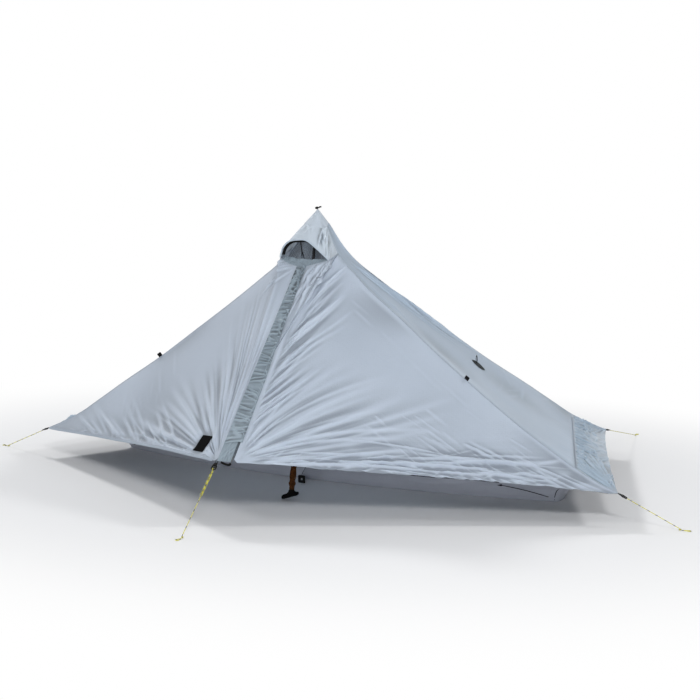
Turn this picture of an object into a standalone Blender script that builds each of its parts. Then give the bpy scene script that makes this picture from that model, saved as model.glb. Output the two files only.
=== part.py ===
"""A one-person backpacking tent: a single-wall pyramid on one trekking pole.

Metres, +Z up. +X runs along the sleeper, +Y from the door to the back.
The origin is on the ground, under the middle of the tent's box.
Places with no other origin are measured from the point under the peak.
"""
import math

import bmesh
import bpy
from mathutils import Matrix, Vector
from mathutils.bvhtree import BVHTree

# Canopy plan and heights
peak_y = -0.2655
peak_height = 1.231
front_corner_out = 1.424
front_corner_forward = 0.084
front_corner_height = 0.134
rear_corner_out = 0.966
rear_corner_back = 1.186
rear_corner_height = 0.136
rear_point_back = 1.371
rear_point_height = 0.120
front_point_forward = 0.850
front_point_height = 0.262

# Each ridge's height along its plan, as shares of plan run and of drop
taut_ridge_shares = (
    (0.0, 1.0), (0.033, 0.945), (0.073, 0.862), (0.12, 0.79), (0.19, 0.715),
    (0.30, 0.604), (0.42, 0.489), (0.56, 0.356), (0.70, 0.235), (0.80, 0.145),
    (0.87, 0.083), (0.94, 0.035), (1.0, 0.0))
door_ridge_shares = (
    (0.0, 1.0), (0.033, 0.93), (0.073, 0.826), (0.14, 0.742), (0.19, 0.685),
    (0.30, 0.58), (0.42, 0.458), (0.56, 0.327), (0.70, 0.203), (0.80, 0.125),
    (0.87, 0.073), (0.94, 0.030), (1.0, 0.0))
cap_run_share = 0.033
right_seam_run_share = 0.073
left_seam_run_share = 0.085
tail_run_share = 0.872
hood_run_share = 0.053
station_run_shares = (
    0.0, cap_run_share, hood_run_share, right_seam_run_share, left_seam_run_share, 0.105, 0.13, 0.16,
    0.20, 0.25, 0.31, 0.38, 0.455, 0.53, 0.605, 0.68, 0.75, 0.815, tail_run_share, 0.92,
    0.96, 1.0)

# Cloth
cloth_thickness = 0.0015
net_thickness = 0.0010
seam_inset = 0.0012
seat_gap = 0.0003
end_sag = 0.015
rear_sag = 0.030
hem_arch = 0.030
hem_arch_in = 0.022
flap_hem_share = 0.055
fold_depth = 0.011
fold_clear = 0.018
fold_fade = 0.020

# Peak vent
rim_forward = 0.124
rim_half_width = 0.120
rim_base_drop = 0.211
rim_rise = 0.082
rim_outline_shares = (
    (-1.0, 0.0), (-0.90, 0.50), (-0.64, 0.88), (-0.25, 1.0), (0.10, 0.97),
    (0.58, 0.50), (1.0, 0.0))
rim_tube_radius = 0.0022
rim_tube_forward = 0.0020
lip_drop = 0.034
lip_depth = 0.026
lip_rise = 0.030

# Zip, storm flap and slider
zip_foot_share = 0.037
band_width = 0.036
gusset_foot_share = 0.55
gusset_end_share = 0.90
zip_edge_inset = 0.0050
zip_edge_reach = 0.090
teeth_gap = 0.0006
tape_width = 0.013
tape_thickness = 0.0008
teeth_width = 0.0016
teeth_height = 0.0022
right_tape_start = 0.020
right_tape_flat = 0.140
right_tape_tilt_share = 0.22
storm_start_share = 0.095
storm_overlap = 0.013
storm_thickness = 0.0010
storm_crown = 0.0086
storm_edge_lift = 0.0042
storm_crinkle = 0.0016
slider_length = 0.012
slider_width = 0.0046
slider_plate = 0.0012
slider_foot_clear = 0.016
lug_height = 0.0022
lug_length = 0.0046
lug_wall = 0.0009
pull_length = 0.024
pull_width = 0.0034
pull_thickness = 0.0009
pull_eye = 0.0010

# Bathtub floor
floor_front_half = 1.065
floor_front_bow = 0.122
floor_front_back = 0.052
floor_side_back = 0.250
floor_side_half = 1.085
floor_left_front_half = 1.165
floor_left_front_bow = 0.190
floor_left_side_half = 1.185
floor_left_side_back = 0.310
floor_rear_half = 0.740
floor_rear_side = 1.010
floor_rear_back = 1.190
floor_wall = 0.082
floor_lean = 0.034
floor_fillet = 0.010
floor_thickness = 0.0015

# Netting
net_top_drop = 0.0026
net_hem_drop = 0.0024
net_top_run_share = 0.045
net_wall_end_share = 0.965
net_door_near = 0.022
net_door_far_share = 0.8263
net_door_end_share = 0.8732
net_door_far = floor_front_half * net_door_far_share
net_door_end = floor_front_half * net_door_end_share
net_door_top_drop = 0.281
net_edge_gap = 0.0010
net_hinge_gap = 0.0017

# Trekking pole
pole_foot_out = 0.055
pole_foot_forward = 0.3395
pole_top_clear = 0.0215
head_height = 0.044
head_length = 0.072
head_width = 0.032
head_turn_degrees = 30
grip_length = 0.114
grip_radius = 0.0150
grip_waist_radius = 0.0118
upper_shaft_radius = 0.0090
upper_shaft_end_share = 0.440
upper_bore_radius = 0.0084
middle_shaft_radius = 0.0080
middle_shaft_end_share = 0.726
middle_bore_radius = 0.0066
lower_shaft_radius = 0.0062
shaft_hidden = 0.070
shaft_travel = 0.300
bore_spare = 0.010
ferrule_length = 0.030
ferrule_radius = 0.0048
tip_length = 0.016
tip_radius = 0.0024
lock_length = 0.040
lock_wall = 0.0042
lock_ear_length = 0.016
lock_ear_wall = 0.0030
lever_length = 0.032
lever_width = 0.0096
lever_thickness = 0.0034

# Corner webbing, line buckles and guylines
webbing_width = 0.0150
webbing_thickness = 0.0014
webbing_length = 0.026
buckle_width = 0.0230
buckle_thickness = 0.0040
buckle_bar = 0.0030
buckle_rail = 0.0028
webbing_slot = 0.0056
line_slot = 0.0056
line_radius = 0.0015
line_loop_length = 0.040
line_loop_half = 0.0075
line_tail_length = 0.095
line_spacing = 0.0090
front_line_end = (-0.009, -1.104, 0)
right_line_end = (1.683, -0.040, 0)
left_line_end = (-1.733, -0.018, 0)
rear_line_end = (0.941, 1.786, 0)

# Small fittings
tab_width = 0.020
tab_height = 0.018
tab_thickness = 0.0024
right_tab_run_share = 0.516
left_tab_run_share = 0.560
peak_loop_length = 0.014
peak_loop_width = 0.018
patch_thickness = 0.0010
patch_lift = 0.0020
guyout_run_share = 0.545
guyout_side_share = 0.72
guyout_patch_length = 0.070
guyout_patch_width = 0.040
guyout_loop_length = 0.030
badge_size = 0.078
badge_hem_share = 0.098
badge_rise_share = 0.061
badge_clear = 0.060
grommet_tab_size = 0.036
grommet_tab_thickness = 0.0022
grommet_bore_radius = 0.0042
grommet_tab_out = -0.060
grommet_tab_forward = 0.029
cord_radius = 0.0011
cord_tuck = 0.010
cord_bow = 0.005
vent_prop_width = 0.005
vent_prop_thickness = 0.0016
vent_prop_spread = 0.015
vent_prop_out = -0.020
tie_clip_out_share = 0.79
tie_clip_length = 0.022
tie_clip_width = 0.010
tie_clip_thickness = 0.004
tie_end_out_share = 0.98

# Facets
round_sides = 20
small_sides = 12
fan_rows_shares = (0.11, 0.24, 0.38, 0.53, 0.69, 0.85, 1.0)
fan_hub_share = 0.012


def at(x, y, z):
    """A place measured from the point under the peak."""
    return Vector((x, peak_y + y, z))


peak = at(0, 0, peak_height)
front_corner = at(front_corner_out, -front_corner_forward, front_corner_height)
left_corner = at(-front_corner_out, -front_corner_forward, front_corner_height)
rear_corner = at(rear_corner_out, rear_corner_back, rear_corner_height)
rear_left_corner = at(-rear_corner_out, rear_corner_back, rear_corner_height)
rear_point = at(0, rear_point_back, rear_point_height)
front_point = at(0, -front_point_forward, front_point_height)
pole_foot = at(pole_foot_out, -pole_foot_forward, 0)
upward = Vector((0, 0, 1))


def clear_scene():
    for item in list(bpy.data.objects):
        bpy.data.objects.remove(item, do_unlink=True)


clear_scene()
tent = bpy.data.collections.new("backpacking_tent")
cutters = bpy.data.collections.new("cutters")
bpy.context.scene.collection.children.link(tent)
bpy.context.scene.collection.children.link(cutters)

# Colour, roughness and metallic value of each material
finishes = {
    "canopy": ((0.42, 0.48, 0.56), 0.45, 0.0),
    "storm": ((0.30, 0.36, 0.42), 0.50, 0.0),
    "floor": ((0.13, 0.14, 0.17), 0.60, 0.0),
    "netting": ((0.09, 0.10, 0.11), 0.80, 0.0),
    "webbing": ((0.015, 0.015, 0.017), 0.70, 0.0),
    "buckle": ((0.012, 0.012, 0.013), 0.40, 0.0),
    "tape": ((0.06, 0.07, 0.08), 0.70, 0.0),
    "slider": ((0.10, 0.10, 0.11), 0.35, 1.0),
    "line": ((0.75, 0.68, 0.05), 0.60, 0.0),
    "cord": ((0.05, 0.05, 0.06), 0.70, 0.0),
    "shaft": ((0.016, 0.016, 0.018), 0.30, 0.6),
    "grip": ((0.10, 0.030, 0.010), 0.75, 0.0),
    "head": ((0.010, 0.010, 0.011), 0.50, 0.0),
    "badge": ((0.010, 0.010, 0.011), 0.55, 0.0),
}


def material(kind):
    name = "mat_" + kind
    if name in bpy.data.materials:
        return bpy.data.materials[name]
    made = bpy.data.materials.new(name)
    made.use_nodes = True
    shader = made.node_tree.nodes["Principled BSDF"]
    colour, roughness, metallic = finishes[kind]
    shader.inputs["Base Color"].default_value = (*colour, 1.0)
    shader.inputs["Roughness"].default_value = roughness
    shader.inputs["Metallic"].default_value = metallic
    return made


def place(name, data, kind):
    """Adds an object; one with no kind of material is a cutter."""
    made = bpy.data.objects.new(name, data)
    group = tent if kind else cutters
    group.objects.link(made)
    if kind:
        data.materials.append(material(kind))
    else:
        made.hide_render = True
        made.display_type = "WIRE"
    return made


def finish_mesh(name, shape, kind):
    data = bpy.data.meshes.new(name)
    shape.to_mesh(data)
    shape.free()
    return place(name, data, kind)


def spline_value(table, x):
    """A smooth curve through a table of (x, value) shares."""
    last = len(table) - 1
    k = 0
    while k < last - 1 and x > table[k + 1][0]:
        k += 1

    def slope(i):
        low, high = max(i - 1, 0), min(i + 1, last)
        return (table[high][1] - table[low][1]) / (table[high][0] - table[low][0])

    span = table[k + 1][0] - table[k][0]
    u = (x - table[k][0]) / span
    a, b = table[k][1], table[k + 1][1]
    ma, mb = slope(k) * span, slope(k + 1) * span
    return ((2 * u**3 - 3 * u**2 + 1) * a + (u**3 - 2 * u**2 + u) * ma
            + (3 * u**2 - 2 * u**3) * b + (u**3 - u**2) * mb)


def ridge(corner, shares, run):
    """The point of a ridge at a share of its run, on straight lengths between stations."""
    k = 0
    while k < len(station_run_shares) - 2 and run > station_run_shares[k + 1]:
        k += 1
    low, high = station_run_shares[k], station_run_shares[k + 1]
    a, b = spline_value(shares, low), spline_value(shares, high)
    height = a + (b - a) * (run - low) / (high - low)
    flat = peak.lerp(corner, run)
    return Vector((flat.x, flat.y, corner.z + (peak.z - corner.z) * height))


def door_ridge(run):
    return ridge(front_corner, door_ridge_shares, run)


def left_ridge(run):
    return ridge(left_corner, taut_ridge_shares, run)


def rear_ridge(run):
    return ridge(rear_corner, taut_ridge_shares, run)


def rear_left_ridge(run):
    return ridge(rear_left_corner, taut_ridge_shares, run)


def back_ridge(run):
    return ridge(rear_point, taut_ridge_shares, run)


def steps(count):
    return [i / (count - 1) for i in range(count)]


def stations(start, end):
    """The ridge's stations from one to another."""
    return [run for run in station_run_shares if start <= run <= end]


def line_points(a, b, count):
    return [a.lerp(b, u) for u in steps(count)]


def arch_share(v):
    """A rise from nothing to one half way and back."""
    return 4 * v * (1 - v)


def join_path(*pieces):
    """One path from pieces that share their end points."""
    out = list(pieces[0])
    for piece in pieces[1:]:
        out.extend(piece[1:])
    return out


def along(path, share):
    """A point at a share of a path's count of points."""
    place_on = share * (len(path) - 1)
    k = min(int(place_on), len(path) - 2)
    return path[k].lerp(path[k + 1], place_on - k)


def mirrored(rows):
    return [[Vector((-p.x, p.y, p.z)) for p in row] for row in rows]


def pull_in(rows, first=0.0, last=0.0, near=0.0, far=0.0):
    """Draws a sheet's four edges in from its seams."""
    out = [[p.copy() for p in row] for row in rows]
    for i in range(len(rows[0])):
        out[0][i] += (rows[1][i] - rows[0][i]).normalized() * first
        out[-1][i] += (rows[-2][i] - rows[-1][i]).normalized() * last
    for j in range(len(rows)):
        out[j][0] += (rows[j][1] - rows[j][0]).normalized() * near
        out[j][-1] += (rows[j][-2] - rows[j][-1]).normalized() * far
    return out


def lift(rows, height):
    """Moves a sheet's points along its own normal by height(row, column)."""
    out = []
    for j, row in enumerate(rows):
        line = []
        for i, p in enumerate(row):
            side = row[min(i + 1, len(row) - 1)] - row[max(i - 1, 0)]
            down = rows[min(j + 1, len(rows) - 1)][i] - rows[max(j - 1, 0)][i]
            line.append(p + side.cross(down).normalized() * height(j, i))
        out.append(line)
    return out


def sheet(name, rows, kind, thickness=cloth_thickness, hub=None, closed=False):
    """A cloth skin of even thickness about a grid of points."""
    shape = bmesh.new()
    grid = [[shape.verts.new(p) for p in row] for row in rows]
    count = len(rows[0])
    sides = count if closed else count - 1
    for near, far in zip(grid, grid[1:]):
        for i in range(sides):
            k = (i + 1) % count
            shape.faces.new((near[i], near[k], far[k], far[i]))
    if hub is not None:
        middle = shape.verts.new(hub)
        for i in range(sides):
            k = (i + 1) % count
            shape.faces.new((middle, grid[0][k], grid[0][i]))
    bmesh.ops.triangulate(shape, faces=shape.faces[:])
    made = finish_mesh(name, shape, kind)
    skin = made.modifiers.new("cloth", "SOLIDIFY")
    skin.thickness = thickness
    skin.offset = 0.0
    made.data.shade_smooth()
    return made


def box(name, size, kind, frame, bevel=0.0):
    """A box of a size, centred on a frame, with softened edges."""
    shape = bmesh.new()
    bmesh.ops.create_cube(shape, size=1.0, matrix=Matrix.Diagonal((*size, 1.0)))
    made = finish_mesh(name, shape, kind)
    made.matrix_world = frame
    if bevel:
        soft = made.modifiers.new("edges", "BEVEL")
        soft.width = bevel
        soft.segments = 1
        soft.limit_method = "ANGLE"
    return made


def tube(name, points, radius, kind):
    """A round cord or wire through points."""
    data = bpy.data.curves.new(name, "CURVE")
    data.dimensions = "3D"
    data.bevel_depth = radius
    data.bevel_resolution = 2
    data.use_fill_caps = True
    line = data.splines.new("POLY")
    line.points.add(len(points) - 1)
    for slot, p in zip(line.points, points):
        slot.co = (*p, 1.0)
    return place(name, data, kind)


def smooth_path(points, spacing):
    """Evenly spaced points of a smooth curve through a route's own points."""
    dense = []
    fine = 24
    for k in range(len(points) - 1):
        a, b = points[k], points[k + 1]
        before = points[k - 1] if k else a + (a - b)
        after = points[k + 2] if k + 2 < len(points) else b + (b - a)
        for i in range(fine):
            u = i / fine
            dense.append(0.5 * ((2 * a) + (b - before) * u
                                + (2 * before - 5 * a + 4 * b - after) * u**2
                                + (3 * a - before - 3 * b + after) * u**3))
    dense.append(points[-1].copy())
    lengths = [0.0]
    for a, b in zip(dense, dense[1:]):
        lengths.append(lengths[-1] + (b - a).length)
    count = max(round(lengths[-1] / spacing), 2) + 1
    out = []
    k = 0
    for u in steps(count):
        target = lengths[-1] * u
        while k < len(dense) - 2 and lengths[k + 1] < target:
            k += 1
        share = (target - lengths[k]) / (lengths[k + 1] - lengths[k])
        out.append(dense[k].lerp(dense[k + 1], min(max(share, 0.0), 1.0)))
    return out


def frame_from(origin, direction, up):
    """A frame with X along a direction and Z near another."""
    x = direction.normalized()
    y = up.cross(x).normalized()
    z = x.cross(y)
    return Matrix.Translation(origin) @ Matrix((x, y, z)).transposed().to_4x4()


def rounded(half_x, half_y, radius, centre_x=0.0, segments=3):
    """The outline of a rounded rectangle."""
    out = []
    for side_x, side_y, start in ((1, 1, 0), (-1, 1, 90), (-1, -1, 180), (1, -1, 270)):
        for i in range(segments + 1):
            a = math.radians(start + 90 * i / segments)
            out.append((centre_x + side_x * (half_x - radius) + radius * math.cos(a),
                        side_y * (half_y - radius) + radius * math.sin(a)))
    return out


def plate(name, outlines, thickness, kind, frame):
    """A flat piece with holes, cut from its outlines."""
    data = bpy.data.curves.new(name, "CURVE")
    data.dimensions = "2D"
    data.fill_mode = "BOTH"
    data.extrude = thickness / 2
    for outline in outlines:
        line = data.splines.new("POLY")
        line.points.add(len(outline) - 1)
        for slot, p in zip(line.points, outline):
            slot.co = (p[0], p[1], 0.0, 1.0)
        line.use_cyclic_u = True
    made = place(name, data, kind)
    made.matrix_world = frame
    return made


def solid_from(made, kind):
    """Turns a curve object into a welded mesh object of the same name."""
    bpy.context.view_layer.update()
    depsgraph = bpy.context.evaluated_depsgraph_get()
    copied = bpy.data.meshes.new_from_object(made.evaluated_get(depsgraph))
    shape = bmesh.new()
    shape.from_mesh(copied)
    bmesh.ops.remove_doubles(shape, verts=shape.verts[:], dist=0.00001)
    name, frame = made.name, made.matrix_world.copy()
    bpy.data.objects.remove(made, do_unlink=True)
    solid = finish_mesh(name, shape, kind)
    solid.matrix_world = frame
    return solid


def turned(name, profile, kind, frame, sides=round_sides):
    """A solid turned about its own Z from a (radius, height) profile, top first."""
    data = bpy.data.meshes.new(name)
    points = [(r, 0.0, h) for r, h in profile]
    edges = [(i, i + 1) for i in range(len(points) - 1)]
    data.from_pydata(points, edges, [])
    made = place(name, data, kind)
    spin = made.modifiers.new("turn", "SCREW")
    spin.steps = sides
    spin.render_steps = sides
    spin.use_merge_vertices = True
    spin.merge_threshold = 0.00005
    made.matrix_world = frame
    return made


def combine(made, other, operation):
    """Joins or cuts one solid with another."""
    step = made.modifiers.new("solid", "BOOLEAN")
    step.operation = operation
    step.object = other
    step.solver = "EXACT"


def loft(name, rings, kind):
    """A solid between closed rings with the same count of points."""
    shape = bmesh.new()
    loops = [[shape.verts.new(p) for p in ring] for ring in rings]
    count = len(loops[0])
    for near, far in zip(loops, loops[1:]):
        for i in range(count):
            k = (i + 1) % count
            shape.faces.new((near[i], near[k], far[k], far[i]))
    shape.faces.new(loops[0])
    shape.faces.new(loops[-1])
    bmesh.ops.recalc_face_normals(shape, faces=shape.faces[:])
    return finish_mesh(name, shape, kind)


rim_base = peak_height - rim_base_drop


def rim_point(share):
    """The vent's rim, from the left corner over the crown to the right corner."""
    side = 2 * share - 1
    rise = max(spline_value(rim_outline_shares, side), 0.0)
    return at(rim_half_width * side, -rim_forward, rim_base + rim_rise * rise)


def lip_point(share):
    """The vent's lower lip, from the left corner to the right corner."""
    side = 2 * share - 1
    droop = lip_drop * (1 - side * side)
    return at(rim_half_width * side, -rim_forward, rim_base - droop)


crease_lip_share = 0.5 - band_width / (2 * rim_half_width)
zip_top = lip_point(0.5)
zip_foot = front_point.lerp(front_corner, zip_foot_share)
crease_top = lip_point(crease_lip_share)
left_vent_corner = rim_point(0.0)
right_vent_corner = rim_point(1.0)
left_seam_peak = left_ridge(left_seam_run_share)
right_seam_peak = door_ridge(right_seam_run_share)
gusset_foot = zip_foot.lerp(zip_top, gusset_foot_share)
left_outward = (left_seam_peak - front_point).cross(left_corner - front_point).normalized()
badge_centre = (front_point + (left_corner - front_point) * badge_hem_share
                + (left_seam_peak - front_point) * badge_rise_share)
zip_length = (zip_top - zip_foot).length
zip_axis = (zip_top - zip_foot).normalized()


def square_to_zip(direction):
    return (direction - zip_axis * direction.dot(zip_axis)).normalized()


def crest_point(share):
    """The crease between the two flaps, which the storm flap is sewn to."""
    return front_point.lerp(crease_top, share)


def left_of_zip(share):
    """The direction from the zip to the crease at a share of the zip's length."""
    return square_to_zip(crest_point(share) - zip_foot.lerp(zip_top, share))


def right_of_zip(share):
    """The direction from the zip into the door, and above its seam into the gusset."""
    door = square_to_zip(right_seam_peak - gusset_foot)
    gusset = square_to_zip(right_vent_corner - zip_top)
    turn = min(max((share - gusset_foot_share) * 8 + 1, 0.0), 1.0)
    return door.lerp(gusset, turn).normalized()


def zip_place(share, side, height, door_share=None):
    """A place by the zip: up it, to the left of it and out from it."""
    right_share = share if door_share is None else door_share
    across = left_of_zip(share) if side >= 0 else -right_of_zip(right_share)
    out = zip_axis.cross(across)
    return zip_foot.lerp(zip_top, share) + across * side + out * height


def fold_height(folds, s, r):
    """The height of a fan of folds at a share s across it and r out from its hub."""
    rise = sum(h * math.exp(-((s - c) / w)**2) for c, w, h in folds)
    return fold_depth * rise * math.sin(math.pi * min(r, 1.0))


# Folds as shares: place across the fan, width and height
left_folds_shares = (
    (0.05, 0.014, 0.6), (0.10, 0.014, -0.5), (0.28, 0.022, 0.7), (0.35, 0.024, -0.6), (0.43, 0.026, 0.6), (0.52, 0.030, -0.6), (0.62, 0.032, 0.7),
    (0.74, 0.034, -0.6), (0.85, 0.034, 0.6))
door_folds_shares = (
    (0.12, 0.020, -0.6), (0.18, 0.020, 0.7), (0.24, 0.022, -0.8), (0.31, 0.024, 0.9),
    (0.39, 0.026, -0.9), (0.47, 0.028, 1.0), (0.56, 0.030, -0.8), (0.65, 0.032, 0.9),
    (0.74, 0.034, -0.7), (0.84, 0.034, 0.7))


def fan(hub, path, folds, fade):
    """A flap stretched from its staked corner to the seams round it."""
    last = len(path) - 1
    rows = []
    for r in fan_rows_shares:
        reach = 1 - flap_hem_share * (1 - r)
        rows.append([hub.lerp(along(path, i / last * reach), r) for i in range(last + 1)])

    def rise(j, i):
        return fold_height(folds, i / last, fan_rows_shares[j]) * fade(rows[j][i])

    return lift(rows, rise)


def left_flap_rows():
    lip_run = [lip_point(crease_lip_share * (1 - u)) for u in steps(5)]
    ridge_run = [left_ridge(run) for run in stations(left_seam_run_share, 1)]
    path = join_path(lip_run, line_points(left_vent_corner, left_seam_peak, 3), ridge_run)

    def fade(p):
        reach = (p - badge_centre).length
        return min(max((reach - badge_clear) / badge_clear, 0.0), 1.0)

    rows = fan(front_point, path, left_folds_shares, fade)
    return pull_in(rows, last=seam_inset, near=seam_inset)


def clear_of_zip(p):
    """Moves a point of the door away from the zip, most where it is nearest."""
    side = right_of_zip(0)
    offset = (p - zip_foot).dot(side)
    if offset > zip_edge_reach:
        return p
    return p + side * (zip_edge_inset * (1 - max(offset, 0.0) / zip_edge_reach))


def door_flap_rows():
    inward = (front_corner - right_seam_peak).normalized() * seam_inset
    leg = [p + inward * 1.2 for p in line_points(gusset_foot, right_seam_peak, 8)]
    ridge_run = [door_ridge(run) for run in stations(right_seam_run_share, 1)]

    def fade(p):
        offset = (p - zip_foot).dot(right_of_zip(0))
        return min(max((offset - fold_clear) / fold_fade, 0.0), 1.0)

    rows = fan(zip_foot, join_path(leg, ridge_run), door_folds_shares, fade)
    rows = pull_in(rows, last=seam_inset)
    return [[clear_of_zip(p) for p in row] for row in rows]


def make_flaps():
    """The two door flaps and the gusset between the door and the vent."""
    rows = left_flap_rows()
    sheet("left_flap", rows, "canopy", hub=front_point.lerp(rows[-1][14], fan_hub_share))

    rows = door_flap_rows()
    hub = clear_of_zip(zip_foot.lerp(rows[-1][13], fan_hub_share))
    sheet("door_flap", rows, "canopy", hub=hub)

    rows = []
    for u in steps(7):
        share = u * gusset_end_share
        zip_edge = zip_top.lerp(gusset_foot, share)
        fold = right_vent_corner.lerp(gusset_foot, share)
        leg = right_seam_peak.lerp(gusset_foot, share)
        zip_edge += (fold - zip_edge).normalized() * zip_edge_inset
        leg += (fold - leg).normalized() * seam_inset
        rows.append([zip_edge, zip_edge.lerp(fold, 0.5), fold, fold.lerp(leg, 0.5), leg])
    sheet("zip_gusset", pull_in(rows, first=seam_inset * 2), "canopy")


def make_zip():
    """The strip beside the zip, both tapes with their teeth, and the storm flap."""
    rows = []
    for u in steps(9):
        crest = crest_point(u)
        inner = zip_foot.lerp(zip_top, u) + left_of_zip(u) * zip_edge_inset
        crest = crest + (inner - crest).normalized() * seam_inset
        rows.append([crest, crest.lerp(inner, 0.5), inner])
    sheet("zip_strip", pull_in(rows, last=seam_inset), "canopy")

    drop = -(cloth_thickness + tape_thickness) / 2 - seat_gap
    bottom, top = drop - tape_thickness / 2, drop + tape_thickness / 2
    crown = bottom + teeth_height
    edge = teeth_gap
    section = ((edge, bottom), (edge, crown), (edge + teeth_width, crown),
               (edge + teeth_width, top), (tape_width, top), (tape_width, bottom))
    start = seam_inset / zip_length
    rings = [[zip_place(start + (1 - 2 * start) * u, w, h) for w, h in section]
             for u in steps(7)]
    loft("zip_left", rings, "tape")
    rings = [[zip_place(run / zip_length, -w, h - w * tilt, 0) for w, h in section]
             for run, tilt in ((right_tape_start, right_tape_tilt_share), (right_tape_flat, 0),
                               (gusset_foot_share * zip_length - seam_inset, 0))]
    loft("zip_right", rings, "tape")
    make_slider(crown, top)

    rows = []
    for j, u in enumerate(steps(21)):
        share = storm_start_share + (1 - storm_start_share - start) * u
        low = share - 0.028 * (1 - min(u * 8, 1))
        base = cloth_thickness / 2 + storm_thickness / 2 + seat_gap
        width = (crest_point(low) - zip_foot.lerp(zip_top, low)).dot(left_of_zip(low))
        ripple = storm_crinkle * math.sin(j * 2.3) * (1 if u < 0.9 else 0.3)
        rows.append([zip_place(low, width - seam_inset, base),
                     zip_place(low, width * 0.62, storm_crown * 0.62 + ripple),
                     zip_place(share, 0, storm_crown + ripple * 0.5),
                     zip_place(share, -storm_overlap * 0.5, storm_crown * 0.94),
                     zip_place(share, -storm_overlap, storm_edge_lift + abs(ripple) * 0.5)])
    sheet("storm_flap", rows, "storm", storm_thickness)


def slider_place(run, side, height):
    """A place on the slider, in the frame of the zip's lower end."""
    across = left_of_zip(0)
    out = zip_axis.cross(across)
    return zip_foot + zip_axis * run + across * side + out * height


def slider_bar(name, section, start, end, kind):
    rings = [[slider_place(run, side, h) for side, h in section] for run in (start, end)]
    return loft(name, rings, kind)


def make_slider(crown, tape_top):
    """The slider on the left row of teeth, and its hanging pull."""
    edge = teeth_gap
    plate_low = crown + seat_gap
    flange_low = tape_top + seat_gap
    inner = edge + teeth_width + seat_gap
    start, end = slider_foot_clear, slider_foot_clear + slider_length
    body = ((edge, plate_low), (edge, plate_low + slider_plate),
            (slider_width, plate_low + slider_plate), (slider_width, flange_low),
            (inner, flange_low), (inner, plate_low))
    slider = slider_bar("zip_slider", body, start, end, "slider")

    lug_low = plate_low + slider_plate - seat_gap
    lug_top = plate_low + slider_plate + lug_height
    middle = (start + end) / 2
    block = ((lug_wall, lug_low), (lug_wall, lug_top), (slider_width - lug_wall, lug_top),
             (slider_width - lug_wall, lug_low))
    lug = slider_bar("slider_lug", block, middle - lug_length / 2, middle + lug_length / 2, None)
    combine(slider, lug, "UNION")

    pull_low = plate_low + slider_plate + pull_thickness / 2 + seat_gap
    pull_start = middle - lug_length / 2 - pull_thickness / 2 - seat_gap
    origin = slider_place(pull_start, slider_width / 2, pull_low)
    out = zip_axis.cross(left_of_zip(0))
    outline = rounded(pull_length / 2, pull_width / 2, pull_width * 0.45, pull_length / 2)
    eye = rounded(pull_eye * 1.6, pull_eye, pull_eye * 0.9, pull_length * 0.82)
    plate("zip_pull", (outline, eye), pull_thickness, "slider",
          frame_from(origin, -zip_axis, out))


def sagged(rows, depth):
    """Sinks the middle of a panel inward."""
    down, across = len(rows) - 1, len(rows[0]) - 1
    return lift(rows, lambda j, i: depth * arch_share(j / down) * arch_share(i / across))


def end_wall_rows(flip, across=7):
    """An end wall's grid, from the cap to its lower seam."""
    front = left_ridge if flip else door_ridge
    back = rear_left_ridge if flip else rear_ridge
    rows = [line_points(front(run), back(run), across)
            for run in stations(cap_run_share, tail_run_share)]
    return sagged(rows, -end_sag if flip else end_sag)


def make_panels():
    """The end walls with their lower skirts, and the two back walls."""
    inset = (seam_inset, seam_inset, seam_inset, seam_inset)
    open_hem = (seam_inset, 0, seam_inset, seam_inset)
    for name, flip in (("right", False), ("left", True)):
        sheet("end_wall_" + name, pull_in(end_wall_rows(flip), *inset), "canopy")
        front = left_ridge if flip else door_ridge
        back = rear_left_ridge if flip else rear_ridge
        inward = 1 if flip else -1
        rows = []
        for run in stations(tail_run_share, 1):
            line = []
            for v in steps(17):
                arch = arch_share(v) * (run - tail_run_share) / (1 - tail_run_share)
                p = front(run).lerp(back(run), v)
                line.append(p + Vector((inward * hem_arch_in * arch, 0, hem_arch * arch)))
            rows.append(line)
        sheet("end_skirt_" + name, pull_in(rows, *open_hem), "canopy")

    for name, side, flip in (("right", rear_ridge, 1), ("left", rear_left_ridge, -1)):
        rows = []
        for run in stations(cap_run_share, 1):
            line = []
            for v in steps(5):
                arch = arch_share(v) * run**4
                p = side(run).lerp(back_ridge(run), v)
                line.append(p + Vector((0, -hem_arch_in * arch, hem_arch * arch)))
            rows.append(line)
        rows = pull_in(sagged(rows, rear_sag * flip), *open_hem)
        sheet("back_wall_" + name, rows, "canopy")


def hood_edge(share, seam_share=0.12):
    """The hood's lower edge: left seam, rim and right seam."""
    if share < seam_share:
        return left_seam_peak.lerp(left_vent_corner, share / seam_share)
    if share > 1 - seam_share:
        return right_vent_corner.lerp(right_seam_peak, (share - 1 + seam_share) / seam_share)
    return rim_point((share - seam_share) / (1 - 2 * seam_share))


def hood_columns():
    """Shares round the hood's edge: close together at its corners."""
    return (0, 0.06, 0.12, 0.145, 0.17, 0.20, 0.24, 0.29, 0.35, 0.41, 0.47, 0.53, 0.59, 0.65,
            0.71, 0.77, 0.83, 0.88, 1.0)


def cap_front(share):
    """The cap's front edge, straight up from the hood's edge to the peak."""
    if share in (0, 1):
        return left_ridge(cap_run_share) if share == 0 else door_ridge(cap_run_share)
    level = left_ridge(cap_run_share).lerp(door_ridge(cap_run_share), share).z
    edge = hood_edge(share)
    return peak.lerp(edge, (peak.z - level) / (peak.z - edge.z))


def cap_ring():
    """The cap's lower edge, round the peak."""
    ring = [cap_front(s) for s in hood_columns()[::3]]
    for a, b in ((door_ridge, rear_ridge), (rear_ridge, back_ridge),
                 (back_ridge, rear_left_ridge), (rear_left_ridge, left_ridge)):
        start, end = a(cap_run_share), b(cap_run_share)
        ring.append(start.lerp(end, 0.5))
        ring.append(end)
    ring.pop()
    return ring


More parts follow.
